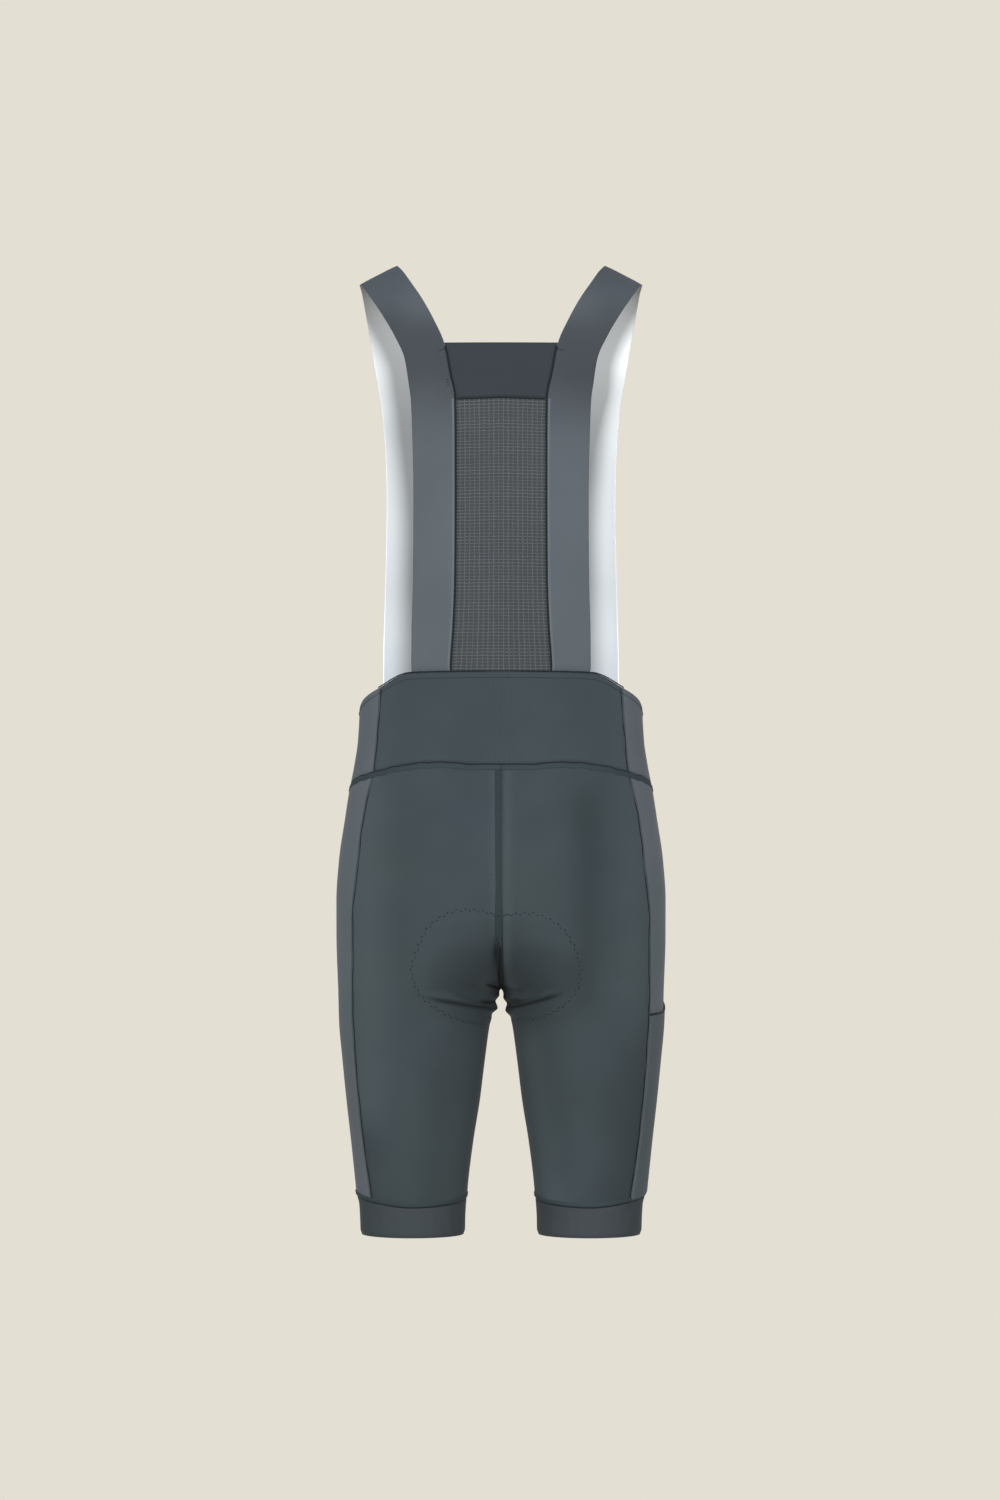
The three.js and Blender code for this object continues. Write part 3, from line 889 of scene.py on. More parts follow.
@dataclass
class Tailor:
    stretch: float = 1.12
    made: list[Piece] = field(default_factory=list)
    materials: dict[str, bpy.types.Material] = field(
        default_factory=lambda: {finish.name: finish.material() for finish in FINISHES}
    )

    def trim(self, piece: Piece, slot: str, *finishes: str) -> Piece:
        """Adds a seam, thread or other trim.

        Args:
            piece: The trim.
            slot: The record's material slot; not used.
            finishes: The names of its finishes, the outer one first.

        Returns:
            The same piece.
        """
        for name in finishes:
            piece.data.materials.append(self.materials[name])
        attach(piece, BODY)
        self.made.append(piece)
        return piece

    def cloth(
        self, piece: Piece, slot: str, node: str, size: Pair, *finishes: str, trims: Sequence[Piece] = ()
    ) -> None:
        """Adds a cloth piece that stands for a solid.

        Args:
            piece: The cloth.
            slot: The record's material slot; not used.
            node: The solid that it replaces.
            size: Its worn width and length in millimetres.
            finishes: The names of its finishes.
            trims: The trims that lie on it.
        """
        self.trim(piece, slot, *finishes)
        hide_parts(node)
        area = sum(p.area for p in piece.data.polygons) / self.stretch**2
        width, length = (s * MM / self.stretch for s in size)
        grow = max(1.0, math.sqrt(area / (width * length)) + 0.001)
        flat = (width * grow, length * grow)
        list(trims)
        LOG.info("%s flat %.3f x %.3f m, area %.4f m2", piece.name, *flat, area)


@dataclass(frozen=True)
class Roll:
    """How a panel's edge sinks into its seam, and the painted shade along the edge there."""

    depth: float = 0.9
    width: float = 1.9
    # Painted shade at the edge, and how far it reaches.
    tone: float = 0.2
    tone_width: float = 2.2

    def sink(self, distance: Array) -> Array:
        """Returns the depths below the outer face at distances from the edge."""
        return self.depth * bump(distance, self.width)

    def shade(self, distance: Array) -> Array:
        """Returns the painted shade at distances from the edge."""
        return self.tone * bump(distance, self.tone_width)


SEWN = Roll()
TURNED = Roll(0.7, 1.2, 0.12, 1.4)
MIDDLE = Roll(0.6, 1.3, 0.05, 1.5)
OPEN = Roll(0.0, 1.0, 0.2, 1.0)
HEM = Roll(1.3, 2.6, 0.2, 1.2)


@dataclass(frozen=True)
class Edging:
    """A panel's real width and length, and the rolls of its first, last, top and bottom edges."""

    size: Pair
    rolls: tuple[Roll | None, ...]
    taper: float = 1.0

    def _most(self, read: Callable[[Roll, Array], Array], u: Array, v: Array) -> Array:
        """Returns the largest of what its edges do, for shares across and down."""
        width, length = self.size[0] * mix(1, self.taper, v), self.size[1]
        distances = (u * width, (1 - u) * width, v * length, (1 - v) * length)
        return np.maximum.reduce([read(roll, d) for roll, d in zip(self.rolls, distances) if roll])

    def sink(self, u: Array, v: Array) -> Array:
        """Returns how far the panel sinks at its edges."""
        return self._most(Roll.sink, u, v)

    def shade(self, u: Array, v: Array) -> Array:
        """Returns the painted shade along the panel's edges."""
        return self._most(Roll.shade, u, v)


@dataclass(frozen=True)
class Panel:
    """A cut piece of cloth: its names, its edges, its grid's steps and its wall.

    It faces away from an upright line that stands to the side of the garment's middle, and its rows
    lie closer at the spots, as crowded takes them.
    """

    name: str
    node: str
    slot: str
    finish: str
    edging: Edging
    steps: tuple[int, int]
    wall: float
    line: float = 0.0
    spots: tuple[Triple, ...] = ()

    def sew(
        self, tailor: Tailor, place: Place, tone: Tone | None = None, trims: Sequence[Piece] = ()
    ) -> None:
        """Makes the panel and adds it to the garment.

        Args:
            tailor: The tailor that adds it.
            place: Its surface.
            tone: The painted shade and painted light at some points, apart from the painted shade along its
                edges.
            trims: The trims that lie on it.
        """
        size = self.edging.size
        shares = crowded(self.steps[0], size[0]), crowded(self.steps[1], size[1], *self.spots)
        piece = grid_piece(self.name, *shares, place, size, (self.line, 0))
        # Painted shade along the seams and edges, added to the panel's own painted shade and light.
        edges = self.edging.shade(*shares_of(piece, size))
        shade(piece, "tone", (tone(points_of(piece)) if tone else 0) + edges)
        thicken(piece, self.wall)
        tailor.cloth(piece, self.slot, self.node, size, self.finish, trims=trims)


def between(
    top: str, bottom: str, half: int, side: int, edging: Edging, lift: float = 0.0, proud: float = 0.0
) -> Place:
    """Returns the surface of a panel between two named edges.

    Args:
        top: Its top edge.
        bottom: Its bottom edge.
        half: The half that it crosses from side to side, or 0 for a side panel.
        side: The side of a side panel.
        edging: How its edges sink.
        lift: How far it stands above its top edge.
        proud: How far it stands out from the cloth.

    Returns:
        The surface.
    """

    def place(u: Array, v: Array) -> Array:
        """Returns points of the panel."""
        share = np.abs(2 * u - 1) if half else u
        sides = np.where(u < 0.5, -1, 1) if half else side
        height = mix(FORM.edge_of(top, half, share) + lift, FORM.edge_of(bottom, half, share), v)
        depth = edging.sink(u, v) * (1 + proud) - proud
        return FORM.skin(FORM.angles(half, share, height), height, sides, depth)

    return place


# Painted shade and painted light


@dataclass(frozen=True)
class PaintedSpot:
    """A small soft place of painted shade near the middle seam, or of painted light where its tone is
    negative.
    """

    side: int
    x: float
    height: float
    reach: Pair
    slope: float
    tone: float
    half: int = -1

    def read(self, x: Array, height: Array) -> Array:
        """Returns the painted shade at some points, or painted light where it is negative."""
        away = height - self.height - self.slope * (x - self.x)
        return self.tone * bump(x - self.x, self.reach[0]) * bump(away, self.reach[1])


@dataclass(frozen=True)
class PaintedStreak:
    """A streak of painted shade that runs up and down on one side, or on both for a side of 0, or of painted
    light where its tone is negative.
    """

    side: int
    tone: float
    across: float
    width: float
    ends: tuple[Pair, ...] = ()
    lean: float = 0.0
    level: float = -804.0
    half: int = -1

    def read(self, x: Array, height: Array) -> Array:
        """Returns the painted shade at some points, or painted light where it is negative."""
        away = np.abs(x) - self.across + self.lean * (height - self.level)
        tone = self.tone * bump(away, self.width)
        for start, stop in self.ends:
            tone = tone * ramp(start, stop, height)
        return tone


# Painted light towards the sides of the back waist.
WAIST_LIGHT = PaintedStreak(0, -0.22, 124, 20)
# Painted shade over the seat pad, where the seat turns under.
PAD_SHADE = Mound(-700.0, (82, 44), 1.4, (0.5, 1.1), 0.1)
# Painted shadows in the folds and the cleft near the crotch, and painted light where light falls on the seat
# and the thighs.
LEG_LIGHT_AND_SHADE = (
    PaintedStreak(0, 0.15, 0, 4.5, ((-640, -700), (-722, -712)), half=1),
    PaintedStreak(0, -0.17, 5, 5, ((-690, -650),)),
    PaintedSpot(-1, -5, -672, (3.2, 15), -0.2, 0.5),
    PaintedSpot(-1, -2, -695, (3.0, 12), 0.0, 0.3),
    PaintedSpot(-1, -4, -708.5, (7, 3.6), -0.35, 0.8),
    PaintedSpot(-1, -11, -723.8, (10, 2.6), 0.0, 0.5),
    PaintedSpot(-1, -15, -706, (8, 12), 0.0, -0.18),
    PaintedSpot(1, 5, -680, (5, 20), 0.0, -0.35),
    PaintedSpot(1, 9, -707, (7, 12), 0.0, -0.3),
    PaintedSpot(1, 2, -702, (3, 10), 0.0, 0.2),
    PaintedSpot(1, 12, -724, (8, 2.8), 0.1, 0.8),
    PaintedStreak(-1, -0.42, 140, 27, ((-880, -820), (-430, -500))),
    PaintedStreak(-1, -0.18, 30, 16, ((-730, -775),), 0.14),
    PaintedStreak(-1, 0.06, 62, 18, ((-740, -800),)),
    PaintedStreak(1, 0.15, 84, 19, ((-480, -540), (-760, -690))),
    PaintedStreak(1, -0.27, 138, 24, ((-790, -700), (-440, -500))),
    PaintedStreak(1, -0.33, 30, 16, ((-730, -775),), 0.14),
    PaintedStreak(1, 0.1, 112, 26, ((-740, -830),)),
)


# Sub-assemblies


@dataclass
class WaistBand:
    """The four panels of the high waist."""

    wall: float = 1.1
    lift: float = 0.6
    back_size: Pair = (290, 92)
    front_size: Pair = (300, 78)
    side_size: Pair = (140, 85)

    def tone(self, points: Array) -> Array:
        """Returns the painted shade of the middle panels, less where painted light lies towards the sides of
        the back.
        """
        across, deep, height = points.T
        return PLAIN_SHADE + WAIST_LIGHT.read(across, height) * (deep < 0)

    def build(self, tailor: Tailor) -> None:
        """Makes the four panels."""
        rolls = SEWN, SEWN, TURNED, SEWN
        for (word, half), size in zip(HALVES.items(), (self.back_size, self.front_size)):
            edging = Edging(size, rolls)
            names = f"cloth_{word}_waist", f"{word}_waist_panel", "shorts", "shorts_knit"
            place = between("waist_top", "waist_seam", half, 0, edging, self.lift)
            Panel(*names, edging, (110, 44), self.wall).sew(tailor, place, self.tone)
        for word, side in SIDES.items():
            edging = Edging(self.side_size, rolls)
            names = f"cloth_side_waist_{word}", f"side_waist_panel_{word}", "side", "side_knit"
            place = between("waist_top", "waist_seam", 0, side, edging, self.lift)
            Panel(*names, edging, (60, 44), self.wall).sew(tailor, place)


@dataclass
class Legs:
    """The three panels of each leg, its hem band and the pocket on the right."""

    wall: float = 1.1
    band_wall: float = 1.5
    pocket_wall: float = 0.9
    back_size: Pair = (200, 470)
    front_size: Pair = (170, 400)
    side_size: Pair = (130, 415)
    band_size: Pair = (372, 38)
    pocket_size: Pair = (120, 195)
    pocket_proud: float = 1.5
    cuff_taper: float = 0.55
    cleft: float = 1.4
    cleft_width: float = 5.0
    cleft_top: Pair = (-600, -680)
    # Painted shade at the bottom of a crease.
    fold_shade: float = 0.36
    middle_line: float = 70.0
    side_line: float = 60.0
    band_line: float = 88.0

    def main(self, tailor: Tailor, end: str, word: str) -> None:
        """Makes the back or front panel of a leg."""
        half, side = HALVES[end], SIDES[word]
        size = self.back_size if half < 0 else self.front_size
        edging = Edging(size, (MIDDLE, SEWN, SEWN, SEWN), self.cuff_taper)

        def place(u: Array, v: Array) -> Array:
            """Returns points of the panel."""
            height = FORM.leg_height(v, u, half)
            near = bump(u * size[0], self.cleft_width) * ramp(*self.cleft_top, height)
            depth = edging.sink(u, v) + self.cleft * near * (v < FORM.trunk_share)
            return FORM.skin(FORM.angles(half, u, height), height, side, depth)

        def tone(points: Array) -> Array:
            """Returns the panel's painted shade and painted light, with painted shade in its creases and over
            the pad.
            """
            across, height = points[:, 0], points[:, 2]
            tones = [t.read(across, height) for t in LEG_LIGHT_AND_SHADE if t.half == half and t.side in (0, side)]
            if half < 0:
                tones.append(PAD_SHADE.read(across, height))
            crease_shade = self.fold_shade * FORM.folds(np.abs(across), height, half, side)
            return PLAIN_SHADE + crease_shade + sum(tones)

        names = f"cloth_{end}_leg_{word}", f"{end}_leg_panel_{word}", "shorts", "shorts_knit"
        crotch = (FORM.trunk_share - 0.005, 26, 3.0)
        panel = Panel(*names, edging, (96, 230), self.wall, side * self.middle_line, (crotch,))
        panel.sew(tailor, place, tone)

    def flank(self, tailor: Tailor, word: str) -> None:
        """Makes the side panel of a leg."""
        side = SIDES[word]
        edging = Edging(self.side_size, (SEWN,) * 4)
        names = f"cloth_side_leg_{word}", f"side_leg_panel_{word}", "side", "side_knit"
        panel = Panel(*names, edging, (56, 150), self.wall, side * self.side_line)
        panel.sew(tailor, between("waist_seam", "cuff_seam", 0, side, edging))

    def pocket(self, tailor: Tailor, side: int) -> None:
        """Makes the pocket, open along its top edge."""
        edging = Edging(self.pocket_size, (SEWN, SEWN, OPEN, SEWN))
        names = "cloth_side_pocket", "side_pocket_right", "side", "pocket_knit"
        panel = Panel(*names, edging, (56, 80), self.pocket_wall, side * self.side_line)
        place = between("pocket_top", "cuff_seam", 0, side, edging, proud=self.pocket_proud)
        panel.sew(tailor, place)

    def band(self, tailor: Tailor, word: str) -> None:
        """Makes the elastic band of a leg's hem."""
        side = SIDES[word]
        edging = Edging(self.band_size, (None, None, SEWN, HEM))

        def place(u: Array, v: Array) -> Array:
            """Returns points of the band."""
            angle = 360 * u - 180
            height = mix(FORM.edge("cuff_seam", angle), FORM.hem, v)
            ripple = wobble(np.radians(angle), (0.14, 19, v * 4), (0.1, 31, 0)) * np.sin(np.pi * v)
            return FORM.skin(angle, height, side, edging.sink(u, v) - ripple)

        shares = np.linspace(0, 1, 193), crowded(26, self.band_size[1])
        line = (side * self.band_line, 0)
        piece = grid_piece(f"hem_band_{word}", *shares, place, self.band_size, line, 0.01)
        thicken(piece, self.band_wall)
        tailor.cloth(piece, "gripper", f"gripper_{word}", self.band_size, "gripper_band")

    def build(self, tailor: Tailor) -> None:
        """Makes both legs and the pocket."""
        for word in SIDES:
            for end in HALVES:
                self.main(tailor, end, word)
            self.flank(tailor, word)
            self.band(tailor, word)
        self.pocket(tailor, 1)


@dataclass
class Straps:
    """Two bands from the back waist over the shoulders to the front waist."""

    wall: float = 1.5
    last: float = 23.0
    crest: float = 13.0
    crown: float = 0.5
    tuck: Pair = (2.2, 4.5)
    tuck_lengths: Pair = (0.4, 0.3)
    size: Pair = (43, 900)
    # Painted shade and painted light on the outer face of the back straps:
    turn_shade: float = 0.5
    turn_rise: Pair = (-190, -95)
    top_light: float = 0.6
    top_rise: Pair = (-64, -20)
    glint_light: float = 0.16
    glint_place: Pair = (-36, 24)
    glint_across: Pair = (112, 78)
    patch_shade: float = 0.04
    patch_place: Pair = (-104, 34)
    crest_shade: float = 0.5
    crest_depth: Pair = (-16, 0)
    back_depth: Pair = (4, 34)
    # Painted shadow of the back strap on the front strap's pale inner face, and painted shade elsewhere on
    # that face:
    left_shade: Triple = (0.95, 36, 0.04)
    right_shade: Triple = (0.84, 28, 0.3)
    back_top: float = -12.0
    shade_start: float = -5.0
    shade_gain: float = 9.0
    shade_rise: Pair = (-260, -120)
    low_place: Pair = (-110, 34)
    back_inner_shade: float = 0.22
    front_depth: Pair = (-40, -20)
    upper_shade: float = 0.2
    foot_rise: Pair = (-370, -300)
    rim_width: float = 0.7
    rim_depth: float = -30.0
    table: Table = Table(
        "station innerX innerY innerZ outerX outerY outerZ",
        (0, 50.2, -95.8, -396.6, 88.6, -83.4, -398), (1, 48.9, -97.6, -376, 88.4, -85.6, -376),
        (2, 47.3, -99.8, -355, 88.2, -87.8, -355), (3, 45.3, -104, -303, 86.7, -92.3, -303),
        (4, 44.8, -109.3, -228, 86.2, -98, -228), (5, 44.8, -112.5, -169, 87.2, -101, -169),
        (6, 45.3, -113.5, -129, 88.7, -102, -130), (7, 50.1, -111.5, -103.6, 90.9, -99.5, -113.5),
        (8, 56, -106, -74, 95.1, -94.5, -88), (9, 66.6, -95, -49.4, 104.6, -86, -66.4),
        (10, 77.7, -79, -28.6, 116.2, -72, -45.8), (11, 89.4, -54, -10.2, 128.5, -50, -26.6),
        (12, 98.5, -28, 3.6, 137, -26.5, -14.4), (13, 104, -2, 10, 141.5, -3, -9.5),
        (14, 103, 26, 4.5, 140, 22, -14.5), (15, 99.5, 53, -14, 137, 46, -31),
        (16, 94, 76, -44, 132.5, 67, -58), (17, 87, 93, -82, 127, 82, -93),
        (18, 80.5, 104, -123, 121, 92, -131), (19, 76.5, 109.5, -170, 117.5, 97, -174),
        (20, 75.5, 110, -228, 116.3, 96.5, -229), (21, 78.5, 105, -303, 117.5, 88, -303),
        (22, 82.5, 97, -380, 119.3, 75.5, -380), (23, 86.5, 87.4, -443.4, 119.5, 61.9, -441),
    )

    def flat_point(self, station: Array, share: Array) -> Array:
        """Returns points of the right strap's plain band, a share across from its inner edge."""
        ends = [
            np.stack([self.table.read(edge + axis, station) for axis in "XYZ"], -1)
            for edge in ("inner", "outer")
        ]
        return mix(*ends, np.asarray(share)[:, None])

    def inward(self, station: Array) -> Array:
        """Returns the directions from the right strap towards the wearer."""
        half, step = np.full(len(station), 0.5), 0.02
        ahead = self.flat_point(np.minimum(self.last, station + step), half)
        behind = self.flat_point(np.maximum(0, station - step), half)
        across = self.flat_point(station, half * 2) - self.flat_point(station, half * 0)
        return unit(np.cross(ahead - behind, across))

    def tucked(self, station: Array, share: Array, sunk: Array) -> Array:
        """Returns points of the right strap, tucked in where its ends are sewn to the waist."""
        first, last = self.tuck_lengths
        tuck = np.maximum(1 - ramp(0, first, station), ramp(self.last - last, self.last, station))
        points = self.flat_point(station, share)
        points = points + self.inward(station) * (sunk + self.tuck[0] * tuck)[:, None]
        points[:, 2] -= self.tuck[1] * tuck
        return points

    def place(self, side: int) -> Place:
        """Returns a strap's outer surface."""

        def points(u: Array, v: Array) -> Array:
            """Returns points of the strap."""
            sunk = -self.crown * (1 - (2 * u - 1) ** 4)
            return self.tucked(v * self.last, u, sunk) * (side, 1, 1)

        return points

    def edge_at(self, share: float, height: Array) -> Array:
        """Returns a long edge of the right strap at some heights of the back, inner 0 or outer 1."""
        stations = np.linspace(0, self.crest, 800)
        edge = self.flat_point(stations, np.full(len(stations), share))
        return np.stack([np.interp(height, edge[:, 2], column) for column in edge.T], -1)

    def outer_shade(self, points: Array) -> Array:
        """Returns the painted shade of the back strap's outer face, most where it turns to the shoulder and
        over the crest, with a painted glint below the top.
        """
        across, deep, height = points.T
        top = 1 - self.top_light * ramp(*self.top_rise, height)
        turn = self.turn_shade * ramp(*self.turn_rise, height) * top
        light = self.glint_light * bump(height - self.glint_place[0], self.glint_place[1])
        light = light * ramp(*self.glint_across, np.abs(across))
        patch = self.patch_shade * bump(height - self.patch_place[0], self.patch_place[1])
        crest = self.crest_shade * ramp(*self.crest_depth, deep)
        return (1 - ramp(*self.back_depth, deep)) * (turn - light + patch + crest)

    def inner_shadow(self, points: Array) -> Array:
        """Returns the painted shadow that the back strap casts on the front strap's pale inner face, with
        painted shade on the back strap's inner face and higher than the waistband.
        """
        across, deep, height = points.T
        dark, width, low = np.where((across < 0)[:, None], self.left_shade, self.right_shade).T
        clear = np.abs(across) - self.edge_at(1.0, np.minimum(height, self.back_top))[:, 0]
        start = self.shade_start + self.shade_gain * ramp(*self.shade_rise, height)
        low = low * bump(height - self.low_place[0], self.low_place[1])
        shaded = dark * (1 - ramp(start, start + width, clear)) + low
        foot = self.upper_shade * ramp(*self.foot_rise, height)
        return mix(self.back_inner_shade, shaded, ramp(*self.front_depth, deep)) + foot

    def on_band(self, stations: Array, shares: Array, side: int) -> Path:
        """Returns the line through some stations and shares of a strap's outer face."""
        path = Path(self.tucked(stations, shares, 0 * stations), -self.inward(stations))
        return path.scaled((side, 1, 1))

    def build(self, tailor: Tailor) -> None:
        """Makes both straps, pale on the inside, with painted shade and painted light on both faces."""
        for word, side in SIDES.items():
            shares = crowded(26, self.size[0]), np.linspace(0, 1, 301)
            piece = grid_piece(f"strap_band_{word}", *shares, self.place(side), self.size, (0, 0))
            points, share = points_of(piece), shares_of(piece, self.size)[0]
            # Painted shade along the long edges of the back strap's inner face.
            rim_shade = bump(np.minimum(share, 1 - share) * self.size[0], self.rim_width)
            rim_shade = rim_shade * (points[:, 1] < self.rim_depth)
            shade(piece, "tone", self.outer_shade(points))
            shade(piece, "inner_shadow", self.inner_shadow(points) + rim_shade)
            thicken(piece, self.wall, inner_slot=1)
            tailor.cloth(piece, "strap", f"strap_{word}", self.size, "strap_elastic", "strap_inner")


@dataclass
class BackPanel:
    """The net and the plain yoke between the straps."""

    straps: Straps
    bulge: float = 3.4
    set_in: float = 0.6
    foot: float = -400.5
    seam: float = -129.5
    peak: float = 1.6
    top: float = -73.6
    wall: float = 1.0
    net_size: Pair = (98, 271)
    yoke_size: Pair = (104, 55)
    wale: float = 5.1
    course: float = 3.2
    thread: float = 0.34
    uneven: float = 0.25

    def point(self, across: Array, height: Array, depth: Number = 0.0) -> Array:
        """Returns points of the back, from -1 across at the left strap to 1 at the right one."""
        edge = self.straps.edge_at(0.0, height)
        deep = edge[:, 1] - self.bulge * (1 - across**2) + self.set_in + depth
        return np.stack([across * edge[:, 0], deep, height], -1)

    def seam_at(self, across: Array) -> Array:
        """Returns the heights of the seam between the net and the yoke."""
        return self.seam + self.peak * (1 - np.abs(across))

    def _place(self, edging: Edging, net: bool) -> Place:
        """Returns the surface of the net or the yoke."""

        def points(u: Array, v: Array) -> Array:
            """Returns points of the panel."""
            across = 2 * u - 1
            seam = self.seam_at(across)
            height = mix(seam, self.foot, v) if net else mix(self.top, seam, v)
            return self.point(across, height, edging.sink(u, v))

        return points

    def _thread(self, surface: Place, at: float, down: bool) -> Piece:
        """Makes one thread of the net as a thin flat tube on the base.

        Args:
            surface: The base's surface.
            at: The share at which the thread runs.
            down: Whether it is a wale, which runs down, or a course, which runs across.

        Returns:
            The thread.
        """
        radius = self.thread * (1.0 + self.uneven * math.sin(at * 77))
        pitch, steps, stop = (self.wale, 110, 0.982) if down else (self.course, 46, 0.996)
        swing, flat = (1.4, 1.6) if down else (0.35, 1.35)

        def place(u: Array, v: Array) -> Array:
            """Returns points of the tube, v along it and u round it."""
            fixed = at + wobble(v, (0.0012, 37, at * 61), (0.0009, 91, at * 23)) * swing
            share = (fixed, v) if down else (v, fixed)
            base = surface(*(np.broadcast_to(s, v.shape).astype(float) for s in share))
            turn = 2 * np.pi * u
            swell = radius * (1 + self.uneven * np.sin(v * 2 * np.pi * (self.net_size[down] / pitch)))
            out = (np.cos(turn) * 0.6 + 0.3) * swell
            wide = np.sin(turn) * swell * flat
            still = np.zeros_like(wide)
            return base + np.stack([wide if down else still, -out, still if down else wide], -1)

        shares = np.linspace(0, 1, 5), np.linspace(0.004, stop, steps + 1)
        return grid_piece("thread", *shares, place, (2.6, 275), weld=0.002)

    def threads(self, edging: Edging) -> Piece:
        """Makes the net's raised threads, wales down and courses across, as one piece."""
        surface = self._place(edging, True)
        wales, courses = (int(s / p) for s, p in zip(self.net_size, (self.wale, self.course)))
        threads = [self._thread(surface, k / wales, True) for k in range(1, wales)]
        threads += [self._thread(surface, k / courses, False) for k in range(1, courses - 1)]
        return join("net_threads", threads)

    def build(self, tailor: Tailor) -> None:
        """Makes the net panel and the yoke."""
        net = Edging(self.net_size, (SEWN,) * 4)
        threads = tailor.trim(self.threads(net), "mesh", "net_thread")
        names = "cloth_net_back", "mesh_back_panel", "mesh", "net_base"
        Panel(*names, net, (48, 120), self.wall).sew(tailor, self._place(net, True), trims=[threads])
        yoke = Edging(self.yoke_size, (SEWN, SEWN, TURNED, SEWN))
        names = "cloth_yoke", "upper_back_panel", "yoke", "yoke_knit"
        Panel(*names, yoke, (48, 40), self.wall).sew(tailor, self._place(yoke, False))


@dataclass
class SeatPad:
    """The moulded pad that lies inside the seat, thick in the middle and thin at its edge."""

    depth: float = 3.4
    middle: float = 7.0
    edge: float = 1.6
    turns: Pair = (-73.0, 66.0)
    channels: tuple[Pair, ...] = ((0.24, 2.2), (0.72, 1.4))
    channel_width: float = 0.05
    groove: Pair = (1.2, 0.09)
    table: Table = Table(
        "turn sweep drop", (-73, 24, -1), (-68, 38, 2), (-60, 46, 8), (-45, 47, 22), (-30, 49, 26),
        (-15, 42, 29), (0, 0, 36), (15, 30, 27), (30, 31, 18), (45, 28, 9), (58, 23, 3), (66, 15, 0),
    )

    def on_skin(self, turn: Array, across: Array, depth: Array) -> Array:
        """Returns points of the pad.

        Args:
            turn: How far round the crotch the points lie, negative at the back.
            across: From -1 at the pad's left edge to 1 at its right edge.
            depth: How far below the cloth's outer face the points lie.

        Returns:
            The points.
        """
        level = np.linspace(FORM.crotch, EDGES["waist_seam"].level, 900)
        middle = np.interp(np.abs(turn), 180 - FORM.middle_angle(level), level)
        sweep, drop = (self.table.read(name, turn) for name in ("sweep", "drop"))
        angle = np.where(turn < 0, -1.0, 1.0) * (180 - np.abs(turn) - np.abs(across) * sweep)
        return FORM.skin(angle, middle - np.abs(across) * drop, np.where(across < 0, -1, 1), depth)

    def place(self, u: Array, v: Array) -> Array:
        """Returns points round the pad's section, v from back to front."""
        outer = u < 0.5
        across = np.where(outer, 4 * u - 1, 3 - 4 * u)
        side, arch = np.abs(across), np.sin(np.pi * v)
        crown = (1 - side**3) * np.sqrt(np.clip(arch * 1.6, 0, 1))
        channel = sum(deep * bump(side - at, self.channel_width) for at, deep in self.channels)
        thick = self.edge * np.clip(arch * 9, 0, 1) + (self.middle - channel) * crown
        thick = np.where(side > 0.999, 0, np.maximum(0, thick))
        under = self.depth + self.groove[0] * bump(side, self.groove[1])
        return self.on_skin(mix(*self.turns, v), across, np.where(outer, under, self.depth + thick))

    def build(self, tailor: Tailor) -> None:
        """Makes the pad as one closed, crowned form with channels."""
        shares = np.linspace(0, 1, 161), np.linspace(0, 1, 121)
        piece = grid_piece("seat_pad_foam", *shares, self.place, (360, 330), weld=0.01)
        tailor.trim(piece, "pad", "pad_cover")
        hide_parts("seat_pad")


@dataclass(frozen=True)
class SeamStyle:
    """A flat seam: a band of cover stitches beside a dark line where two panels meet."""

    width: float
    rise: float
    shift: float
    line: float
    line_shift: float = 0.0
    finish: str = "seam_band"
    line_finish: str = "seam_line"
    taper: float = 0.0

    def sew(self, tailor: Tailor, name: str, path: Path, slot: str, sign: int = 1) -> None:
        """Makes a seam's band, its dark line and the thread over it.

        Args:
            tailor: The tailor that adds them.
            name: The seam's name.
            path: The line where the panels meet.
            slot: The record's material slot; not used.
            sign: Which way along the cloth the band lies from the line.
        """
        shift = sign * self.shift
        band = Band(self.width, self.rise, shift, self.taper)
        line = Band(self.line, 0.12, sign * self.line_shift)
        cover = Thread(2.4, self.width / 2 - 0.5, 0.24, shift, self.rise * 0.75)
        tailor.trim(band.on(path, f"band_{name}"), slot, self.finish)
        tailor.trim(line.on(path, f"line_{name}"), slot, self.line_finish)
        tailor.trim(cover.on(path, f"stitch_{name}"), slot, self.finish)


WAIST_STYLE = SeamStyle(5.2, 0.5, -3.2, 1.3)
CENTRE_STYLE = SeamStyle(6.4, 0.3, -3.3, 1.2, 0.1, "centre_band", "centre_band", 0.12)
SIDE_STYLE = SeamStyle(3.4, 0.2, 2.2, 1.1, 0.0, "side_band")
INSEAM_STYLE = SeamStyle(4.2, 0.4, 2.2, 1.1)
CUFF_STYLE = SeamStyle(4.4, 0.9, 2.6, 1.2)


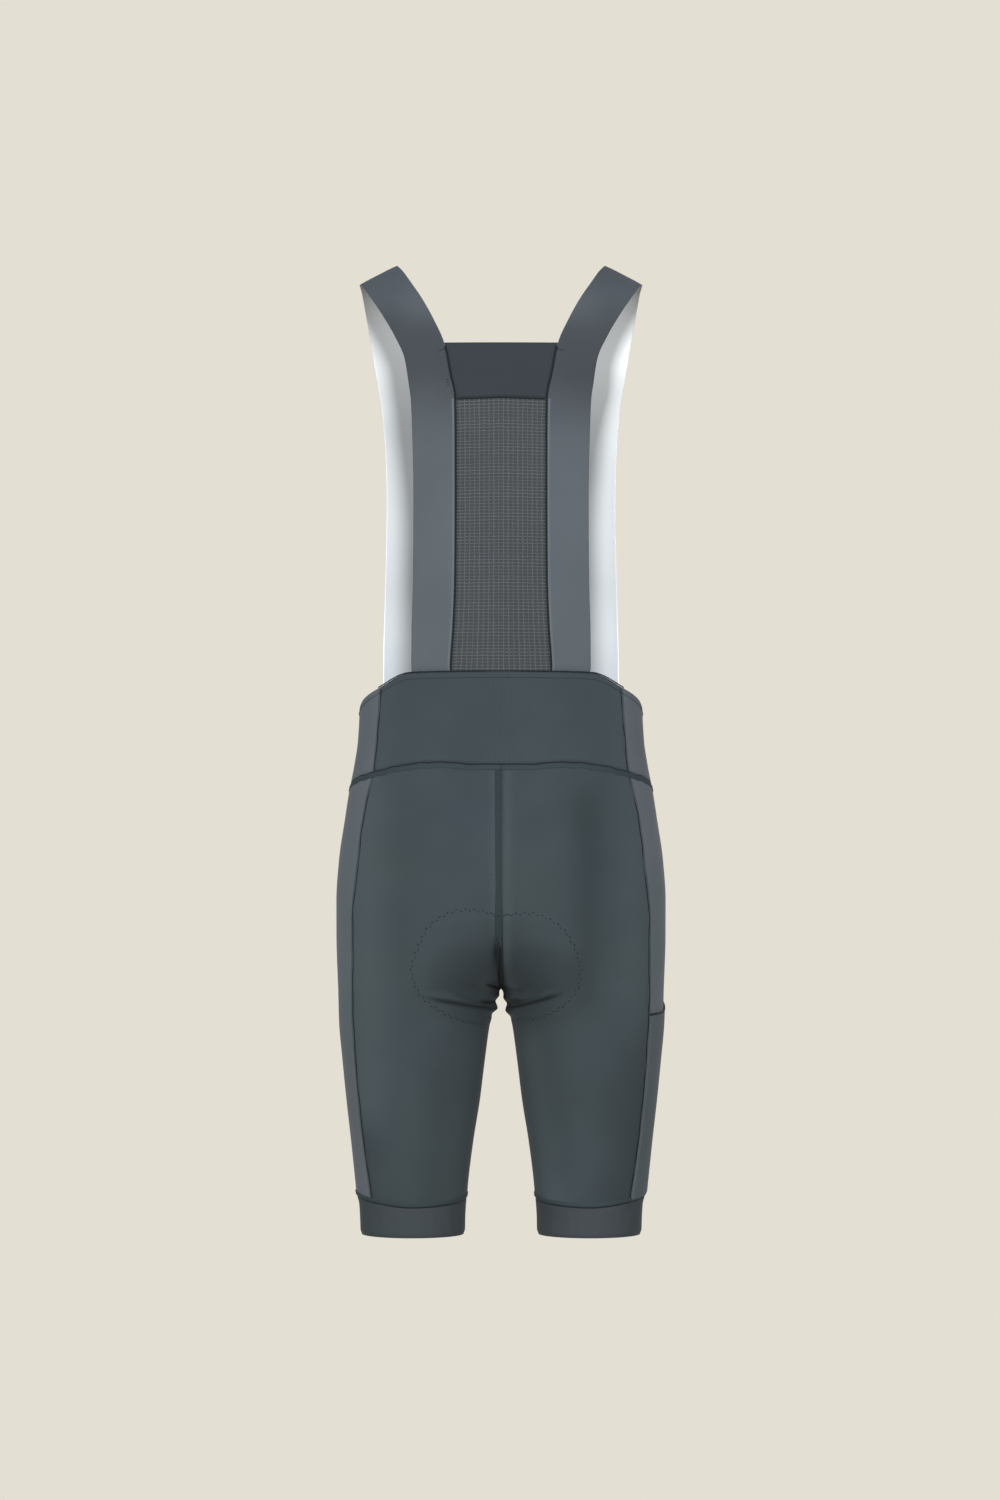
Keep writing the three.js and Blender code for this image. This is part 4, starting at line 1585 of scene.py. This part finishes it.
@dataclass
class Seams:
    """Every seam, hem stitching and binding of the garment."""

    straps: Straps
    back: BackPanel
    band_ends: Pair = (-668.0, -696.0)
    foot: float = -921.0
    dashes: Triple = (6.52, 6.64, 6.76)
    pad_lines: tuple[tuple[Pair, ...], ...] = (
        (
            (-1.5, -637.5), (-8, -635), (-21, -631), (-40, -630), (-54, -634), (-71, -645), (-79, -662),
            (-88, -684), (-88, -697), (-80, -716), (-70, -724), (-52, -736), (-32, -743), (-17, -746),
        ),
        (
            (1.5, -636), (23, -634), (36, -634), (54, -643), (66, -654), (76, -676), (79, -697),
            (73, -714), (58, -729), (43, -737), (24, -740), (15, -743),
        ),
    )

    def ring(self, name: str, drop: float = 0.0, limit: float = 0.0) -> Path:
        """Returns the line along a waist edge.

        Args:
            name: The edge.
            drop: How far below the edge the line lies.
            limit: How far to each side of the middle of the back it runs, where not all round.

        Returns:
            The line.
        """
        start = -float(FORM.middle_angle(EDGES[name].level))
        angle = np.linspace(start, start + limit if limit else -start, 300)
        height = FORM.edge(name, angle) - drop
        if name == "waist_seam":
            height = height + wobble(np.radians(angle), (0.35, 27, 0), (0.25, 44, 1))
        right, left = (body_path(angle, height, side) for side in (1, -1))
        return left.backwards().then(right) if limit else right.then(left.backwards())

    def centre(self, half: int, top: float, bottom: float) -> Path:
        """Returns the middle seam of a half between two heights."""
        height = mix(top, bottom, np.linspace(0, 1, 400) ** 0.5)
        return body_path(half * FORM.middle_angle(height), height, 1, 0.5).scaled((0, 1, 1))

    def side(self, side: int, half: int) -> Path:
        """Returns a side seam."""
        height = np.linspace(float(FORM.edge_of("waist_top", half, 1.0)) - 1.5, self.foot, 300)
        sway = wobble(height, (0.4, 1 / 13, 0), (0.3, 1 / 5.7, side))
        return body_path(half * FORM.seam_angle(height) + sway, height, side, 0.35)

    def inseam(self, side: int) -> Path:
        """Returns the seam down the inside of a leg."""
        height = np.linspace(FORM.crotch - 6, -919, 200)
        return body_path(np.full(200, 180.0), height, side, 0.5)

    def cuff(self, side: int) -> Path:
        """Returns the ring on which a leg's hem band is sewn."""
        angle = np.linspace(-180, 180, 260)
        return body_path(angle, FORM.edge("cuff_seam", angle), side, 0.2)

    def pocket_edge(self, side: int) -> Path:
        """Returns the pocket's open edge."""
        limit = float(FORM.seam_angle(EDGES["pocket_top"].level)) - 0.4
        angle = np.linspace(-limit, limit, 80)
        return body_path(angle, FORM.edge("pocket_top", angle), side, -1.4)

    def pad_line(self, flat: Sequence[Pair]) -> Path:
        """Returns the sewn line through some points of the seat, which shows the pad's edge."""
        steps = np.linspace(0, len(flat) - 1, 300)
        across, height = (np.interp(steps, range(len(flat)), column) for column in zip(*flat))
        across, height = (smoothed(part, 15) for part in (np.abs(across), height))
        return body_path(-FORM.angle_of(across, height), height, -1 if flat[0][0] < 0 else 1)

    def yoke_line(self) -> Path:
        """Returns the line between the net and the yoke."""
        across = 2 * np.linspace(0.03, 0.97, 60) - 1
        return Path(self.back.point(across, self.back.seam_at(across)), np.tile((0, -1.0, 0), (60, 1)))

    def trunk(self, tailor: Tailor) -> None:
        """Makes the seams of the waist and the seat."""
        WAIST_STYLE.sew(tailor, "waist", self.ring("waist_seam"), "shorts")
        hem = Thread(2.4, 0, 0.3, dip=0.4).on(self.ring("waist_top", 5.6), "stitch_waist_hem")
        tailor.trim(hem, "shorts", "seam_line")
        foot = Band(1.2, 0.1).on(self.ring("waist_top", -1.0, 55.0), "line_waist_top")
        tailor.trim(foot, "shorts", "seam_line")
        under = []
        for (word, half), end in zip(HALVES.items(), self.band_ends):
            path = self.centre(half, float(FORM.edge("waist_seam", half * 90.0)) - 3, end)
            CENTRE_STYLE.sew(tailor, f"centre_{word}", path, "shorts", -half)
            under.append(self.centre(half, end, FORM.crotch))
        line = Band(1.6, 0.12).on(under[0].then(under[1].backwards()), "line_crotch")
        tailor.trim(line, "shorts", "seam_line")
        for flat, word in zip(self.pad_lines, SIDES):
            row = Thread(4.4, 1.2, 0.32, 0, -0.1, 0.5).on(self.pad_line(flat), f"stitch_pad_{word}")
            tailor.trim(row, "shorts", "seam_line")

    def leg(self, tailor: Tailor, word: str, side: int) -> None:
        """Makes the seams of one leg."""
        for end, half in HALVES.items():
            SIDE_STYLE.sew(tailor, f"side_{end}_{word}", self.side(side, half), "side", -half * side)
        INSEAM_STYLE.sew(tailor, f"inseam_{word}", self.inseam(side), "shorts")
        CUFF_STYLE.sew(tailor, f"cuff_{word}", self.cuff(side), "gripper", side)

    def strap(self, tailor: Tailor, word: str, side: int) -> None:
        """Makes the edges and tacks of one strap."""
        edge = self.straps.on_band(np.linspace(0.0, 7.9, 200), np.full(200, 0.0), side)
        low = self.straps.on_band(np.linspace(0.0, 6.0, 160), np.full(160, 0.055), side)
        tack = self.straps.on_band(np.full(20, 7.8), np.linspace(0.0, 0.17, 20), side)
        tailor.trim(Band(1.7, 0.25).on(edge, f"line_strap_{word}"), "strap", "seam_line")
        tailor.trim(Band(2.6, 0.3).on(low, f"binding_{word}"), "strap", "binding")
        tailor.trim(Thread(1.0, 0.7, 0.3, 0, 0.3).on(tack, f"tack_{word}"), "strap", "seam_line")

    def build(self, tailor: Tailor) -> None:
        """Makes all bands and threads."""
        self.trunk(tailor)
        for word, side in SIDES.items():
            self.leg(tailor, word, side)
            self.strap(tailor, word, side)
        mouth = Band(2.2, 0.5).on(self.pocket_edge(1), "band_pocket_edge")
        tailor.trim(mouth, "side", "seam_line")
        tailor.trim(Band(1.3, 0.3).on(self.yoke_line(), "line_yoke"), "yoke", "seam_line")
        places = [self.straps.on_band(np.full(12, at), np.linspace(0.07, 0.13, 12), -1) for at in self.dashes]
        dashes = [Band(0.8, 0.45).on(place, "dash") for place in places]
        tailor.trim(join("tack_dashes_left", dashes), "strap", "seam_line")


# Studio


@dataclass
class Studio:
    """The plain pale surroundings, the soft light and the camera."""

    paper: tuple[int, int, int] = (228, 223, 211)
    sky: tuple[float, float, float, float] = (0.78, 0.86, 0.95, 1.0)
    sky_strength: float = 0.8
    distance: float = 6.0
    middle: Pair = (-0.001, -0.474)
    framed: float = 1.5
    floor: float = -1.27
    floor_radius: float = 14.0
    sensor: float = 36.0
    far: float = 60.0
    lamps: tuple[tuple[str, Triple, float, float], ...] = (
        ("key", (-2.6, -4.9, 1.2), 2.6, 295.0),
        ("fill", (2.4, -5.1, 0.6), 2.8, 255.0),
        ("front", (0.2, 5.4, 1.2), 3.4, 300.0),
    )

    def camera(self) -> None:
        """Puts the camera behind the garment at the photograph's framing."""
        data = bpy.data.cameras.new("camera")
        data.sensor_width = self.sensor
        data.lens = self.sensor * self.distance / self.framed
        data.clip_end = self.far
        camera = placed("camera", data)
        camera.location = (self.middle[0], -self.distance, self.middle[1])
        camera.rotation_euler = (math.pi / 2, 0, 0)
        bpy.context.scene.camera = camera

    def light(self, name: str, place: Triple, size: float, power: float) -> None:
        """Adds a large soft light that points at the garment."""
        data = bpy.data.lights.new(name, "AREA")
        data.shape = "DISK"
        data.size = size
        data.energy = power
        lamp = placed(name, data)
        lamp.location = place
        aim = Vector((0, 0, self.middle[1])) - Vector(place)
        lamp.rotation_euler = aim.to_track_quat("-Z", "Y").to_euler()

    def world(self) -> None:
        """Makes the pale paper that the camera sees and the even light that falls on the cloth."""
        scene = bpy.context.scene
        scene.view_settings.view_transform = "Standard"
        scene.world = bpy.data.worlds.new("paper")
        shader = Shader(scene.world)
        seen = shader.node("ShaderNodeBackground", {}, {"Color": linear(self.paper)})
        lit = shader.node("ShaderNodeBackground", {}, {"Color": self.sky, "Strength": self.sky_strength})
        direct = shader.node("ShaderNodeLightPath", {}, {}, "Is Camera Ray")
        shader.close(shader.node("ShaderNodeMixShader", {}, {0: direct, 1: lit, 2: seen}))

    def ground(self) -> None:
        """Makes the plain pale floor."""
        shader = Shader(bpy.data.materials.new("paper"))
        glow = shader.node("ShaderNodeEmission", {}, {"Color": linear(self.paper), "Strength": 1.0})
        bm = bmesh.new()
        bmesh.ops.create_circle(bm, cap_ends=True, segments=96, radius=self.floor_radius)
        bmesh.ops.translate(bm, verts=bm.verts[:], vec=(0, 0, self.floor))
        floor = finished("floor", bm)
        floor.data.materials.append(shader.close(glow))

    def build(self) -> None:
        """Makes the surroundings, the lights and the camera."""
        self.world()
        self.ground()
        for lamp in self.lamps:
            self.light(*lamp)
        self.camera()


def main() -> None:
    """Builds the whole scene and reports its pieces."""
    logging.basicConfig(level=logging.INFO, format="%(name)s: %(message)s")
    Studio().build()
    tailor = Tailor()
    straps = Straps()
    back = BackPanel(straps)
    for assembly in (WaistBand(), Legs(), straps, back, SeatPad(), Seams(straps, back)):
        assembly.build(tailor)
    total = 0
    for piece in tailor.made:
        count = sum(len(p.vertices) - 2 for p in piece.data.polygons) * (2 if piece.modifiers else 1)
        total += count
        LOG.info("%s: about %d triangles", piece.name, count)
    LOG.info("%d pieces, about %d triangles", len(tailor.made), total)


if __name__ == "__main__":
    main()
